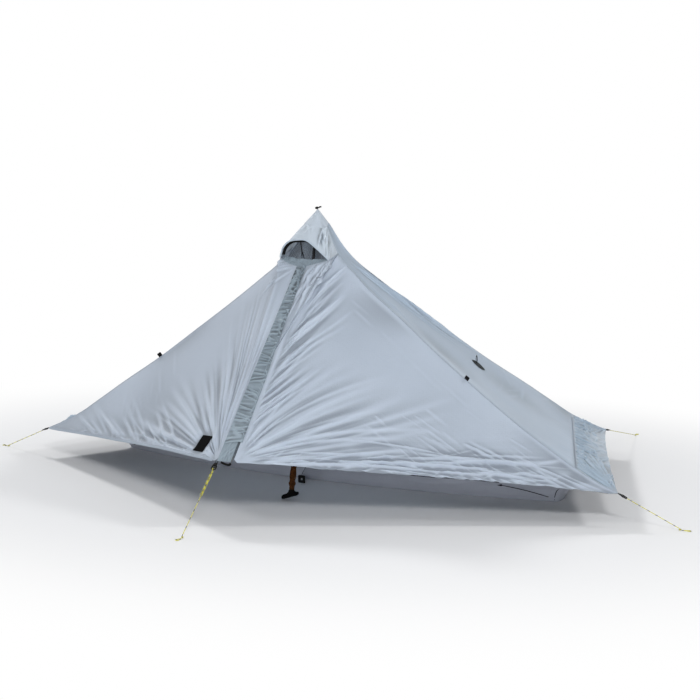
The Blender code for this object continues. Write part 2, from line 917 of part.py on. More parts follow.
def make_peak():
    """The vent hood with its stiff rim, lip and prop, and the cap over the pole."""
    left_runs = (cap_run_share, hood_run_share, right_seam_run_share,
                 (right_seam_run_share + left_seam_run_share) / 2, left_seam_run_share)
    right_runs = (cap_run_share, (cap_run_share + hood_run_share) / 2, hood_run_share,
                  (hood_run_share + right_seam_run_share) / 2, right_seam_run_share)
    rows = []
    for u, left_run, right_run in zip(steps(5), left_runs, right_runs):
        line = [cap_front(s).lerp(hood_edge(s), u) for s in hood_columns()]
        line[0], line[-1] = left_ridge(left_run), door_ridge(right_run)
        rows.append(line)
    rows = pull_in(rows, seam_inset, seam_inset, seam_inset, seam_inset)
    sheet("vent_hood", rows, "canopy")

    forward = Vector((0, -rim_tube_forward, 0))
    rim_line = [rim_point(0.02 + 0.96 * u) + forward for u in steps(25)]
    tube("vent_rim", rim_line, rim_tube_radius, "canopy")

    rows = []
    for u in steps(3):
        line = []
        for v in steps(11):
            start = zip_axis * -seat_gap
            rise = Vector((0, lip_depth * u, lip_rise * u * (0.4 + 0.6 * arch_share(v))))
            line.append(lip_point(0.08 + 0.84 * v) + start + rise)
        rows.append(line)
    sheet("vent_lip", rows, "canopy")
    make_vent_prop()

    ring = cap_ring()
    rows = [[peak.lerp(p, u) for p in ring] for u in (0.30, 0.65)]
    rows.append([peak.lerp(p, 1 - seam_inset / (p - peak).length) for p in ring])
    cap = sheet("peak_cap", rows, "canopy", hub=peak, closed=True)
    loop_at = at(0, 0, peak_height + peak_loop_length / 2 - cloth_thickness)
    loop = box("peak_loop", (peak_loop_width, tab_thickness, peak_loop_length), None,
               Matrix.Translation(loop_at), tab_thickness / 4)
    combine(cap, loop, "UNION")

    def cup_ring(share, drop):
        return [peak.lerp(p, share) - upward * drop for p in ring]

    def bore_ring(radius, height):
        frame = pole_frame(height)
        out = []
        for i in range(len(ring)):
            a = math.pi - 2 * math.pi * (i - 0.5) / len(ring)
            out.append(frame @ Vector((radius * math.cos(a), -radius * math.sin(a), 0)))
        return out

    drop = cloth_thickness * 1.9
    length = pole_length()
    shoulder = length - tip_length
    bore = ferrule_radius + 5 * seat_gap
    loft("pole_cup", (cup_ring(0.18, drop), cup_ring(0.72, drop),
                      bore_ring(bore, shoulder - 0.6 * ferrule_length),
                      bore_ring(bore, shoulder + seat_gap),
                      bore_ring(tip_radius + seat_gap, shoulder + 2 * seat_gap),
                      bore_ring(tip_radius + seat_gap, length + seat_gap)), "webbing")


def make_vent_prop():
    """The forked strut that holds the vent's rim up off its lip."""
    share = 0.5 + vent_prop_out / (2 * rim_half_width)
    behind = rim_tube_radius - rim_tube_forward + 2 * seat_gap
    top = rim_point(share) + Vector((0, behind, -rim_tube_radius - seat_gap))
    reach = lip_rise * (0.4 + 0.6 * arch_share(0.4)) + cloth_thickness / 2 + seat_gap
    foot = lip_point(share) + Vector((0, lip_depth, reach))
    down = foot - top
    frame = frame_from(top, down, Vector((0, -1, 0)))
    length = down.length
    half, spread = vent_prop_width / 2, vent_prop_spread / 2
    split, crotch = length * 0.55, length * 0.70
    outline = ((0, -half), (split, -half), (length, -spread), (length, -spread + half),
               (crotch, 0), (length, spread - half), (length, spread), (split, half), (0, half))
    plate("vent_prop", (outline,), vent_prop_thickness, "webbing", frame)


def pole_length():
    """From the ground to the top of the tip."""
    return (peak - pole_foot).length - pole_top_clear


def pole_frame(height=0.0):
    """The pole's own frame: Z up the pole, X to the right."""
    up = (peak - pole_foot).normalized()
    back = up.cross(Vector((1, 0, 0))).normalized()
    side = back.cross(up)
    turn = Matrix((side, back, up)).transposed().to_4x4()
    return Matrix.Translation(pole_foot + up * height) @ turn


# The head seen from its side: a sloping cap that runs out to a nose, under a level neck
head_outline_shares = (
    (-0.57, 0.26), (-0.55, 0.08), (-0.48, 0.0), (-0.10, 0.22), (0.30, 0.46), (0.42, 0.58),
    (0.45, 0.72), (0.42, 0.88), (0.28, 0.85), (0.19, 0.88), (0.165, 1.0), (-0.165, 1.0),
    (-0.19, 0.78), (-0.27, 0.60), (-0.50, 0.44))


def make_pole():
    """A three-section trekking pole, standing on its head."""
    turn = (Matrix.Rotation(math.radians(head_turn_degrees), 4, "Z")
            @ Matrix.Rotation(math.radians(90), 4, "X"))
    points = [(x * head_length, y * head_height) for x, y in head_outline_shares]
    corners = [pole_frame() @ turn @ Vector((x, y, side * head_width / 2))
               for x, y in points for side in (-1, 1)]
    foot = (seat_gap - min(p.z for p in corners)) / pole_frame().col[2].z
    head = plate("pole_head", (points,), head_width, "head", pole_frame(foot) @ turn)
    head = solid_from(head, "head")
    soft = head.modifiers.new("edges", "BEVEL")
    soft.width = head_height * 0.09
    soft.segments = 2
    soft.limit_method = "ANGLE"

    base = foot + head_height + seat_gap
    top = base + grip_length
    turned("pole_grip", ((0, top), (upper_shaft_radius * 1.12, top),
                         (grip_radius * 1.08, top - grip_length * 0.08),
                         (grip_radius, top - grip_length * 0.12),
                         (grip_waist_radius, top - grip_length * 0.16),
                         (grip_radius * 0.94, top - grip_length * 0.34),
                         (grip_radius * 0.98, top - grip_length * 0.52),
                         (grip_waist_radius, top - grip_length * 0.66),
                         (grip_radius * 1.06, top - grip_length * 0.76),
                         (grip_waist_radius * 0.96, top - grip_length * 0.88),
                         (grip_waist_radius, base), (0, base)), "grip", pole_frame())

    shaft_base = top + seat_gap
    end = pole_length()
    upper_shaft_end = end * upper_shaft_end_share
    middle_shaft_end = end * middle_shaft_end_share
    bore_depth = shaft_hidden + shaft_travel + bore_spare
    shaft("pole_upper", upper_shaft_radius, upper_bore_radius, shaft_base, upper_shaft_end,
          bore_depth)
    middle_base = upper_shaft_end - shaft_hidden
    shaft("pole_middle", middle_shaft_radius, middle_bore_radius, middle_base,
          middle_shaft_end, bore_depth)
    lower_base = middle_shaft_end - shaft_hidden
    shoulder = end - tip_length
    turned("pole_lower", ((0, end), (tip_radius * 0.7, end),
                          (tip_radius, end - tip_length * 0.2), (tip_radius, shoulder),
                          (ferrule_radius, shoulder),
                          (lower_shaft_radius, shoulder - ferrule_length),
                          (lower_shaft_radius, lower_base), (0, lower_base)),
           "shaft", pole_frame())
    make_lock("lower", upper_shaft_end, upper_shaft_radius, middle_shaft_radius)
    make_lock("upper", middle_shaft_end, middle_shaft_radius, lower_shaft_radius)


def shaft(name, radius, bore, low, high, bore_depth):
    """A tube that is open at its top."""
    floor = max(high - bore_depth, low + radius)
    turned(name, ((0, floor), (bore, floor), (bore, high), (radius, high), (radius, low),
                  (0, low)), "shaft", pole_frame())


def make_lock(name, height, outer, inner):
    """A lever lock: a clamp on the end of a shaft, and its lever."""
    wall = outer + seat_gap + lock_wall
    slide = inner + 2 * seat_gap
    low = height - lock_length * 0.62
    high = height + lock_length * 0.38
    step = height + seat_gap
    clamp = turned("lock_" + name,
                   ((slide, step), (slide, high), (slide + lock_wall * 0.5, high),
                    (wall, high - lock_wall), (wall, low + lock_wall),
                    (outer + seat_gap + lock_wall * 0.5, low), (outer + seat_gap, low),
                    (outer + seat_gap, step), (slide, step)), "buckle", pole_frame())
    middle = (low + high) / 2
    for side in (-1, 1):
        offset = side * (lever_width / 2 + seat_gap + lock_ear_wall / 2)
        frame = pole_frame(middle) @ Matrix.Translation((offset, wall + lock_ear_wall * 0.45, 0))
        ear = box("ear_%s_%d" % (name, side + 1),
                  (lock_ear_wall, lock_ear_wall * 2.6, lock_ear_length), None, frame)
        combine(clamp, ear, "UNION")
    round_end = lever_thickness / 2
    section = [(round_end * math.cos(a), round_end * math.sin(a))
               for a in (math.radians(180 - 30 * k) for k in range(7))]
    section += [(round_end * 0.8, -lever_length * 0.84), (-round_end * 0.2, -lever_length),
                (-round_end, -lever_length * 0.84)]
    rings = [[Vector((side * lever_width / 2, y, z)) for y, z in section] for side in (-1, 1)]
    lever = loft("lever_" + name, rings, "buckle")
    lever.matrix_world = pole_frame(middle) @ Matrix.Translation(
        (0, wall + seat_gap + round_end, lock_ear_length * 0.2))


# Half width, bow, side half width and side place of the floor's right and left halves
floor_sides = {
    1: (floor_front_half, floor_front_bow, floor_side_half, floor_side_back),
    -1: (floor_left_front_half, floor_left_front_bow, floor_left_side_half,
         floor_left_side_back),
}


def floor_front(side, share):
    """The floor's front edge, from the middle to one end."""
    half, bow = floor_sides[side][:2]
    return Vector((half * share, floor_front_back + bow * share**2))


def turn_corner(a, b, c, count):
    """A corner at b, rounded between points a and c."""
    return [a * (1 - u)**2 + b * (2 * u * (1 - u)) + c * u**2 for u in steps(count)]


front_count = 9
corner_count = 5
side_count = 6
rear_count = 5


def floor_half(side):
    """One half of the floor's outline, from the front middle to the rear middle."""
    half, bow, side_half, side_back = floor_sides[side]
    front = [floor_front(side, u) for u in steps(front_count)]
    side_start = Vector((side_half, side_back))
    knee = Vector((side_half + 0.2 * (side_half - half), floor_front_back + bow))
    side_end = Vector((floor_rear_half, floor_rear_side))
    middle = Vector((0, floor_rear_back))
    return join_path(front, turn_corner(front[-1], knee, side_start, corner_count),
                     [side_start.lerp(side_end, u) for u in steps(side_count)],
                     [side_end.lerp(middle, u) for u in steps(rear_count)])


def floor_ring(offset, height):
    """The floor's outline, grown by an offset, from the front middle anticlockwise."""
    ring = floor_half(1) + [Vector((-p.x, p.y)) for p in reversed(floor_half(-1)[1:-1])]
    out = []
    for i, here in enumerate(ring):
        tangent = (ring[(i + 1) % len(ring)] - ring[i - 1]).normalized()
        out.append(at(here.x + tangent.y * offset, here.y - tangent.x * offset, height))
    return out


def floor_rim(side=1):
    """The floor's rim, from the front middle to the right or to the left."""
    ring = floor_ring(floor_lean, floor_wall)
    return ring if side > 0 else ring[:1] + ring[:0:-1]


def make_floor():
    """The bathtub floor, flat where it lies."""
    shape = bmesh.new()
    levels = ((-floor_fillet, 0.0), (0.0, floor_fillet), (floor_lean * 0.5, floor_wall * 0.5),
              (floor_lean, floor_wall))
    rings = [[shape.verts.new(p) for p in floor_ring(offset, height)]
             for offset, height in levels]
    count = len(rings[0])
    for near, far in zip(rings, rings[1:]):
        for i in range(count):
            k = (i + 1) % count
            shape.faces.new((near[i], near[k], far[k], far[i]))
    shape.faces.new(rings[0][::-1])
    made = finish_mesh("bathtub_floor", shape, "floor")
    skin = made.modifiers.new("cloth", "SOLIDIFY")
    skin.thickness = floor_thickness
    skin.offset = -1.0


def on_rim(x):
    """The floor's front rim at a place along it."""
    front = floor_rim(1 if x >= 0 else -1)[:front_count]
    for a, b in zip(front, front[1:]):
        if abs(x) <= abs(b.x):
            return a.lerp(b, (x - a.x) / (b.x - a.x))
    return front[-1]


def net_low(x):
    """The front net's lower edge: the floor's rim, then the line to the tent's corner."""
    raised = upward * (net_thickness / 2 + seat_gap)
    start = on_rim(math.copysign(front_corner_out, x)) + raised
    if abs(x) <= abs(start.x):
        return on_rim(x) + raised
    end = (front_corner if x > 0 else left_corner) - upward * (4 * net_hem_drop)
    return start.lerp(end, (abs(x) - abs(start.x)) / (abs(end.x) - abs(start.x)))


def net_high(x):
    """The front net's upper edge, tucked under the ridges."""
    run = max(abs(x) / front_corner_out, net_top_run_share)
    near = door_ridge if x > 0 else left_ridge
    fall = near(run) - near(run - 0.01)
    steep = fall.length / Vector((fall.x, fall.y)).length
    p = near(run)
    return Vector((x, p.y, p.z - net_top_drop * steep))


def hinge_line(x):
    """The line the net door turns on, at a place along it."""
    low, high = net_low(net_door_near), net_high(net_door_near)
    top = low.lerp(high, (peak_height - net_door_top_drop - low.z) / (high.z - low.z))
    return top.lerp(net_low(net_door_end), (x - top.x) / (net_door_end - top.x))


def make_nets():
    """The net wall under the ridges, its door, and the skirt to the hems."""
    runs = stations(net_top_run_share, net_wall_end_share)
    columns = [-front_corner_out * run for run in reversed(runs)]
    columns += [-net_door_near, 0, net_door_near - net_edge_gap]
    rows = [[net_low(x).lerp(net_high(x), w) for x in columns] for w in steps(5)]
    sheet("net_wall_left", rows, "netting", net_thickness)

    columns = [net_door_near, net_door_near * 2] + [front_corner_out * run for run in runs]
    rows = []
    for w in steps(4):
        line = []
        for x in columns:
            low = hinge_line(x) if x < net_door_end else net_low(x)
            line.append(low.lerp(net_high(x), w))
        rows.append(line)
    rows = pull_in(rows, first=net_hinge_gap / 2, near=net_edge_gap / 2)
    sheet("net_wall_right", rows, "netting", net_thickness)

    columns = [net_door_near + (net_door_far - net_door_near) * u for u in steps(12)]
    rows = [[net_low(x).lerp(hinge_line(x), w) for x in columns] for w in steps(5)]
    rows = pull_in(rows, last=net_hinge_gap / 2, near=net_edge_gap / 2)
    sheet("net_door", rows, "netting", net_thickness)

    rows = []
    for w in steps(4):
        line = []
        for side in (1, -1):
            half = skirt_half(side, w)
            line += half if side > 0 else half[-2::-1]
        rows.append(line)
    rows = pull_in(rows, near=net_edge_gap, far=net_edge_gap)
    sheet("net_skirt", rows, "netting", net_thickness)


def skirt_half(side, w):
    """A line of the net skirt at a share of its height, from the front corner to the back."""
    raised = upward * (net_thickness / 2 + seat_gap)
    ring = [p + raised for p in floor_rim(side)]
    turn = front_count + corner_count + side_count - 3
    corner, rear = Vector(front_corner), Vector(rear_corner)
    corner.x, rear.x = side * corner.x, side * rear.x
    walls = ((ring[front_count - 1:turn + 1], corner, rear, -side * hem_arch_in, 0),
             (ring[turn:turn + rear_count], rear, rear_point, 0, -hem_arch_in))
    pieces = []
    for low, start, end, inward_x, inward_y in walls:
        pieces.append([p.lerp(hem_point(start, end, v, inward_x, inward_y), w)
                       for p, v in zip(low, steps(len(low)))])
    return join_path(*pieces)


def hem_point(a, b, share, inward_x, inward_y):
    """Just under a hem that runs from one corner to the next."""
    arch = arch_share(share)
    return a.lerp(b, share) + Vector((inward_x * arch, inward_y * arch,
                                      hem_arch * arch - net_hem_drop))


def make_corner(name, corner, direction, hems=()):
    """A webbing loop sewn to a corner, and the line buckle that it holds."""
    along_line = direction.normalized()
    lead = 0.0
    for end in hems:
        hem = end - corner
        ahead = hem.dot(along_line)
        aside = (hem - along_line * ahead).length
        lead = max(lead, ahead / aside * webbing_width / 2)
    frame = frame_from(corner + along_line * (lead + seat_gap), direction, upward)
    inner = math.hypot(buckle_thickness, buckle_bar) / 2 + seat_gap
    outer = inner + webbing_thickness
    bar_at = webbing_length - outer
    neck = webbing_length * 0.35
    outline = [(0, webbing_thickness), (neck, webbing_thickness)]
    hole = [(webbing_length * 0.42, webbing_thickness * 0.15)]
    bend = 8
    for i in range(bend + 1):
        a = math.radians(90 - 180 * i / bend)
        outline.append((bar_at + outer * math.cos(a), outer * math.sin(a)))
        hole.append((bar_at + inner * math.cos(a), inner * math.sin(a)))
    outline += [(neck, -webbing_thickness), (0, -webbing_thickness)]
    hole.append((webbing_length * 0.42, -webbing_thickness * 0.15))
    side = frame @ Matrix.Rotation(math.radians(90), 4, "X")
    plate("webbing_" + name, (outline, hole), webbing_width, "webbing", side)

    length = 3 * buckle_bar + webbing_slot + line_slot
    half = buckle_width / 2
    start = bar_at - buckle_bar / 2
    pieces = [rounded(length / 2, half, buckle_rail, start + length / 2)]
    slot_start = start
    for width in (webbing_slot, line_slot):
        slot_start += buckle_bar
        pieces.append(rounded(width / 2, half - buckle_rail, width * 0.12,
                              slot_start + width / 2, 2))
        slot_start += width
    plate("buckle_" + name, pieces, buckle_thickness, "buckle", frame)
    return frame @ Matrix.Translation((start + length - buckle_bar / 2, 0, 0))


def ground_loop(end, heading):
    """The stake loop at a line's end: out along the ground, round and back."""
    across = Vector((-heading.y, heading.x, 0))
    turn = []
    for k in range(9):
        a = math.radians(-150 + 300 * k / 8)
        turn.append(end + heading * (line_loop_length * 0.62 + line_loop_half * math.cos(a))
                    + across * line_loop_half * math.sin(a))
    back = end + heading * (line_loop_length * 0.12) + across * (line_radius * 2.6)
    return turn, back


def guyline(name, bar_frame, end_place, tail):
    """A guyline from a buckle to its stake loop on the ground."""
    low = Vector((0, 0, line_radius + seat_gap))
    end = at(*end_place) + low
    bar = bar_frame.translation
    heading = Vector((end.x - bar.x, end.y - bar.y, 0)).normalized()
    turn, back = ground_loop(end, heading)
    if tail:
        x = bar_frame.to_3x3() @ Vector((1, 0, 0))
        z = bar_frame.to_3x3() @ Vector((0, 0, 1))
        wrap = math.hypot(buckle_thickness, buckle_bar) / 2 + 2 * seat_gap + line_radius
        bend = [bar + x * wrap * math.cos(a) + z * wrap * math.sin(a)
                for a in (math.radians(20 + 40 * k) for k in range(9))]
        spread = Vector((line_radius * 3, 0, 0))
        hang = bar + x * line_tail_length + z * wrap * 1.2 - spread
        tail_run = smooth_path([hang, hang.lerp(bend[0], 0.6) - spread * 0.3, bend[0]],
                               line_spacing)
        start = tail_run + bend[1:]
    else:
        start = [bar + (end - bar).normalized() * (buckle_bar / 2 + seat_gap)]
    down = [start[-1].lerp(end, u) for u in (0.35, 0.7, 0.94)]
    points = start + smooth_path([start[-1]] + down + [end] + turn + [back], line_spacing)[1:]
    for p in points:
        p.z = max(p.z, line_radius + 2 * seat_gap)
    tube(name, points, line_radius, "line")


def line_direction(corner, end_place):
    return at(*end_place) - corner


def make_corners():
    """Webbing, buckles and guylines at the six staked points."""
    lines = {"front": (front_point, front_line_end), "right": (front_corner, right_line_end),
             "left": (left_corner, left_line_end), "rear_right": (rear_corner, rear_line_end)}
    for name, (corner, end) in lines.items():
        hems = (rear_point,) if name == "rear_right" else ()
        bar = make_corner(name, corner, line_direction(corner, end), hems)
        guyline("guyline_" + name, bar, end, name == "front")
    rear = line_direction(rear_corner, rear_line_end)
    make_corner("rear_left", rear_left_corner, Vector((-rear.x, rear.y, rear.z)), (rear_point,))
    make_corner("back", rear_point, Vector((0, rear.y, rear.z)))


def laid_on(rows, frame, half_x, half_y, counts, height):
    """A patch's grid, dropped along its frame's -Z onto a panel's grid."""
    points = [p for row in rows for p in row]
    wide = len(rows[0])
    faces = [(j * wide + i, j * wide + i + 1, (j + 1) * wide + i + 1, (j + 1) * wide + i)
             for j in range(len(rows) - 1) for i in range(wide - 1)]
    tree = BVHTree.FromPolygons(points, faces)
    down = frame.to_3x3() @ Vector((0, 0, -1))
    out = []
    for v in steps(counts[1]):
        line = []
        for u in steps(counts[0]):
            start = frame @ Vector((half_x * (2 * u - 1), half_y * (2 * v - 1), half_x))
            hit, normal, index, distance = tree.ray_cast(start, down)
            line.append(hit - down * height)
        out.append(line)
    return out


def make_fittings():
    """The badge, the loops on the ridges and ends, and the floor's ties."""
    hem = (front_point - left_corner).normalized()
    flap = left_flap_rows()
    rows = laid_on([[front_point] * len(flap[0])] + flap,
                   frame_from(badge_centre, hem, left_outward),
                   badge_size / 2, badge_size / 2, (6, 6), patch_lift)
    sheet("badge", rows, "badge", patch_thickness)

    for name, flip in (("right", False), ("left", True)):
        side = -1 if flip else 1
        front = left_ridge if flip else door_ridge
        back = rear_left_ridge if flip else rear_ridge
        middle = front(guyout_run_share).lerp(back(guyout_run_share), guyout_side_share)
        down = (front(1).lerp(back(1), guyout_side_share) - peak).normalized()
        out = down.cross(front(1) - back(1)).normalized()
        out = out if out.z > 0 else -out
        frame = frame_from(middle, down, out)
        rows = laid_on(end_wall_rows(flip), frame, guyout_patch_length / 2,
                       guyout_patch_width / 2, (7, 3), patch_lift)
        for i in range(7):
            pinch = 1 - 0.8 * abs(i / 3 - 1)**2
            rows[0][i] = rows[1][i].lerp(rows[0][i], pinch)
            rows[2][i] = rows[1][i].lerp(rows[2][i], pinch)
        patch = sheet("guyout_" + name, rows, "webbing", patch_thickness)
        foot = rows[1][1] + upward * guyout_loop_length / 2 + out * tab_thickness * 0.4
        level = down.cross(out)
        loop = box("guyout_loop_" + name, (guyout_loop_length, tab_width * 0.6, tab_thickness),
                   None, frame_from(foot, upward, upward.cross(level)))
        combine(patch, loop, "UNION")

        run = left_tab_run_share if flip else right_tab_run_share
        here = front(run)
        slope = front(run + tab_width) - front(run - tab_width)
        flap_out = Vector((-side * left_outward.x, left_outward.y, left_outward.z))
        stand = (out + flap_out).normalized()
        stand = (stand - slope * stand.dot(slope) / slope.length_squared).normalized()
        rise = cloth_thickness / 2 + seat_gap + tab_height / 2
        box("ridge_tab_" + name, (tab_width, tab_thickness, tab_height), "webbing",
            frame_from(here + stand * rise, slope, stand))

    half = grommet_tab_size / 2
    tab_at = at(grommet_tab_out, -grommet_tab_forward, half + seat_gap)
    hole = [(grommet_bore_radius * math.cos(a), grommet_bore_radius * math.sin(a))
            for a in (2 * math.pi * k / small_sides for k in range(small_sides))]
    plate("grommet_tab", (rounded(half, half, half * 0.15), hole), grommet_tab_thickness,
          "webbing", Matrix.Translation(tab_at) @ Matrix.Rotation(math.radians(90), 4, "X"))
    top = tab_at + upward * (half + cord_radius + seat_gap)
    off_wall = cord_tuck * floor_lean / floor_wall - cord_radius
    hold = on_rim(grommet_tab_out) + Vector((0, off_wall, -cord_tuck))
    sag = top.lerp(hold, 0.5) - Vector((0, cord_bow, 0))
    tube("tab_cord", smooth_path([top, sag, hold], cord_radius * 5), cord_radius, "cord")

    for name, side in (("right", 1), ("left", -1)):
        make_floor_tie(name, side)


def make_floor_tie(name, side):
    """The clip at the floor's rim and the elastic that draws its corner out."""
    def wall_place(x, height):
        front = floor_front(side, x / floor_sides[side][0])
        base = at(side * front.x, front.y, 0)
        return base.lerp(on_rim(side * x), height / floor_wall)

    def off_wall(x, height, clear):
        rise = wall_place(x, floor_wall) - wall_place(x, 0)
        level = wall_place(x + tie_clip_length, 0) - wall_place(x, 0)
        out = level.cross(rise).normalized() * side
        return wall_place(x, height) + out * (clear + seat_gap)

    half = floor_sides[side][0]
    tie_clip_out, tie_end_out = half * tie_clip_out_share, half * tie_end_out_share
    reach = tie_end_out - tie_clip_out
    clear = tie_clip_thickness / 2 + seat_gap
    start = off_wall(tie_clip_out + tie_clip_length * 0.3, floor_wall * 0.82, clear)
    middle = off_wall(tie_clip_out + reach * 0.55, floor_wall * 0.60, clear)
    end = off_wall(tie_end_out, floor_wall * 0.30, cord_radius)
    points = smooth_path([start, middle, end], cord_radius * 6)
    cord = solid_from(tube("floor_tie_" + name, points, cord_radius, "cord"), "cord")
    rise = wall_place(tie_clip_out, floor_wall) - wall_place(tie_clip_out, 0)
    clip_at = off_wall(tie_clip_out, floor_wall * 0.83, clear)
    clip = box("tie_clip_" + name, (tie_clip_length, tie_clip_thickness, tie_clip_width), None,
               frame_from(clip_at, start - clip_at, rise))
    combine(cord, clip, "UNION")


def turn_on(name, frame):
    """Sets a moving piece's origin on the axis that it turns or slides on."""
    made = bpy.data.objects[name]
    made.data.transform(frame.inverted() @ made.matrix_world)
    made.matrix_world = frame


def set_axes():
    """The origins of the pieces that move."""
    ridge_line = front_corner - right_seam_peak
    for name in ("door_flap", "zip_right"):
        turn_on(name, frame_from(right_seam_peak, ridge_line, upward))
    turn_on("storm_flap", frame_from(front_point, crease_top - front_point, upward))
    slide = frame_from(slider_place(slider_foot_clear, 0, 0), zip_axis, left_of_zip(0))
    turn_on("zip_slider", slide)
    top = hinge_line(net_door_near)
    turn_on("net_door", frame_from(top, hinge_line(net_door_end) - top, upward))


make_flaps()
make_zip()
make_panels()
make_peak()
make_pole()
make_floor()
make_nets()
make_corners()
make_fittings()
set_axes()
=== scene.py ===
"""The looks of a one-person backpacking tent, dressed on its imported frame.

Metres, +Z up, in the row frame. The tent's own formulas repeat those of its solids.
"""
import math
from functools import partial

import bmesh
import bpy
import numpy as np
from mathutils import Matrix, Vector
from mathutils.bvhtree import BVHTree


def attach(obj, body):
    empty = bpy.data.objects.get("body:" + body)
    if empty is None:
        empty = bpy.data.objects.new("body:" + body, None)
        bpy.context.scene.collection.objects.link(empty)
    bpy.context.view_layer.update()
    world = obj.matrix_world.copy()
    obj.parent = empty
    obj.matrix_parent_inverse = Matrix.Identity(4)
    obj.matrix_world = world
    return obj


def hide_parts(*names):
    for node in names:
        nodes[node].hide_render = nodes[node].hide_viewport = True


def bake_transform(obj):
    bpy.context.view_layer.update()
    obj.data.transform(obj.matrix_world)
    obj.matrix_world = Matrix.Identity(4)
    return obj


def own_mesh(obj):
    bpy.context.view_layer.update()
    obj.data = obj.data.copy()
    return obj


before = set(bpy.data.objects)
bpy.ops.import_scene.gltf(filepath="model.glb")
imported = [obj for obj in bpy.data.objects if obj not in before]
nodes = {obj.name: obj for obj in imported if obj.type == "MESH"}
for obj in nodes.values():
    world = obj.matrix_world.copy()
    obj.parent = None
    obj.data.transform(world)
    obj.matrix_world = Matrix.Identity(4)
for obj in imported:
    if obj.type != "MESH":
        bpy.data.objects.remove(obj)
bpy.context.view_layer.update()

# ---------------------------------------------------------------- the tent's own shape

peak_y = -0.2655
corner_half, rear_half = 1.424, 0.966


def at(x, y, z):
    return Vector((x, peak_y + y, z))


peak = at(0, 0, 1.231)
front_corner = at(corner_half, -0.084, 0.134)
left_corner = at(-corner_half, -0.084, 0.134)
rear_corner = at(rear_half, 1.186, 0.136)
rear_left_corner = at(-rear_half, 1.186, 0.136)
rear_point = at(0, 1.371, 0.120)
front_point = at(0, -0.850, 0.262)
up = Vector((0, 0, 1))

taut_shares = (
    (0.0, 1.0), (0.033, 0.945), (0.073, 0.862), (0.12, 0.79), (0.19, 0.715),
    (0.30, 0.604), (0.42, 0.489), (0.56, 0.356), (0.70, 0.235), (0.80, 0.145),
    (0.87, 0.083), (0.94, 0.035), (1.0, 0.0))
door_shares = (
    (0.0, 1.0), (0.033, 0.93), (0.073, 0.826), (0.14, 0.742), (0.19, 0.685),
    (0.30, 0.58), (0.42, 0.458), (0.56, 0.327), (0.70, 0.203), (0.80, 0.125),
    (0.87, 0.073), (0.94, 0.030), (1.0, 0.0))
cap_run, right_seam_run, left_seam_run, tail_run, hood_run = 0.033, 0.073, 0.085, 0.872, 0.053
station_runs = (
    0.0, cap_run, hood_run, right_seam_run, left_seam_run, 0.105, 0.13, 0.16, 0.20, 0.25,
    0.31, 0.38, 0.455, 0.53, 0.605, 0.68, 0.75, 0.815, tail_run, 0.92, 0.96, 1.0)
rim_forward, rim_half, rim_base, rim_rise = 0.124, 0.120, 1.020, 0.082
rim_shares = ((-1.0, 0.0), (-0.90, 0.50), (-0.64, 0.88), (-0.25, 1.0), (0.10, 0.97),
              (0.58, 0.50), (1.0, 0.0))
lip_drop, lip_depth, lip_rise = 0.034, 0.026, 0.030
band_width = 0.036
hem_arch, hem_arch_in = 0.030, 0.022
zip_inset = 0.0050


def spline_value(table, x):
    last = len(table) - 1
    k = 0
    while k < last - 1 and x > table[k + 1][0]:
        k += 1

    def slope(i):
        low, high = max(i - 1, 0), min(i + 1, last)
        return (table[high][1] - table[low][1]) / (table[high][0] - table[low][0])

    span = table[k + 1][0] - table[k][0]
    u = (x - table[k][0]) / span
    a, b = table[k][1], table[k + 1][1]
    ma, mb = slope(k) * span, slope(k + 1) * span
    return ((2 * u**3 - 3 * u**2 + 1) * a + (u**3 - 2 * u**2 + u) * ma
            + (3 * u**2 - 2 * u**3) * b + (u**3 - u**2) * mb)


def ridge(corner, shares, run):
    flat = peak.lerp(corner, run)
    height = spline_value(shares, run)
    return Vector((flat.x, flat.y, corner.z + (peak.z - corner.z) * height))


door_ridge = partial(ridge, front_corner, door_shares)
left_ridge = partial(ridge, left_corner, taut_shares)
rear_ridge = partial(ridge, rear_corner, taut_shares)
rear_left_ridge = partial(ridge, rear_left_corner, taut_shares)
back_ridge = partial(ridge, rear_point, taut_shares)


def steps(count):
    return [i / (count - 1) for i in range(count)]


def stations(start, end):
    return [run for run in station_runs if start <= run <= end]


def arch(v):
    return 4 * v * (1 - v)


def join_path(*pieces):
    out = list(pieces[0])
    for piece in pieces[1:]:
        out.extend(piece[1:])
    return out


def rim_point(share):
    side = 2 * share - 1
    return at(rim_half * side, -rim_forward,
              rim_base + rim_rise * max(spline_value(rim_shares, side), 0.0))


def lip_point(share):
    side = 2 * share - 1
    return at(rim_half * side, -rim_forward, rim_base - lip_drop * (1 - side * side))


crease_lip_share = 0.5 - band_width / (2 * rim_half)
zip_top = lip_point(0.5)
zip_foot = front_point.lerp(front_corner, 0.037)
crease_top = lip_point(crease_lip_share)
left_vent_corner, right_vent_corner = rim_point(0.0), rim_point(1.0)
left_seam_peak, right_seam_peak = left_ridge(left_seam_run), door_ridge(right_seam_run)
gusset_foot_share = 0.55
gusset_foot = zip_foot.lerp(zip_top, gusset_foot_share)
zip_length = (zip_top - zip_foot).length
zip_axis = (zip_top - zip_foot).normalized()


def square_to_zip(direction):
    return (direction - zip_axis * direction.dot(zip_axis)).normalized()


def crest_point(share):
    return front_point.lerp(crease_top, share)


def left_of_zip(share):
    return square_to_zip(crest_point(share) - zip_foot.lerp(zip_top, share))


def right_of_zip(share):
    door = square_to_zip(right_seam_peak - gusset_foot)
    gusset = square_to_zip(right_vent_corner - zip_top)
    turn = min(max((share - gusset_foot_share) * 8 + 1, 0.0), 1.0)
    return door.lerp(gusset, turn).normalized()


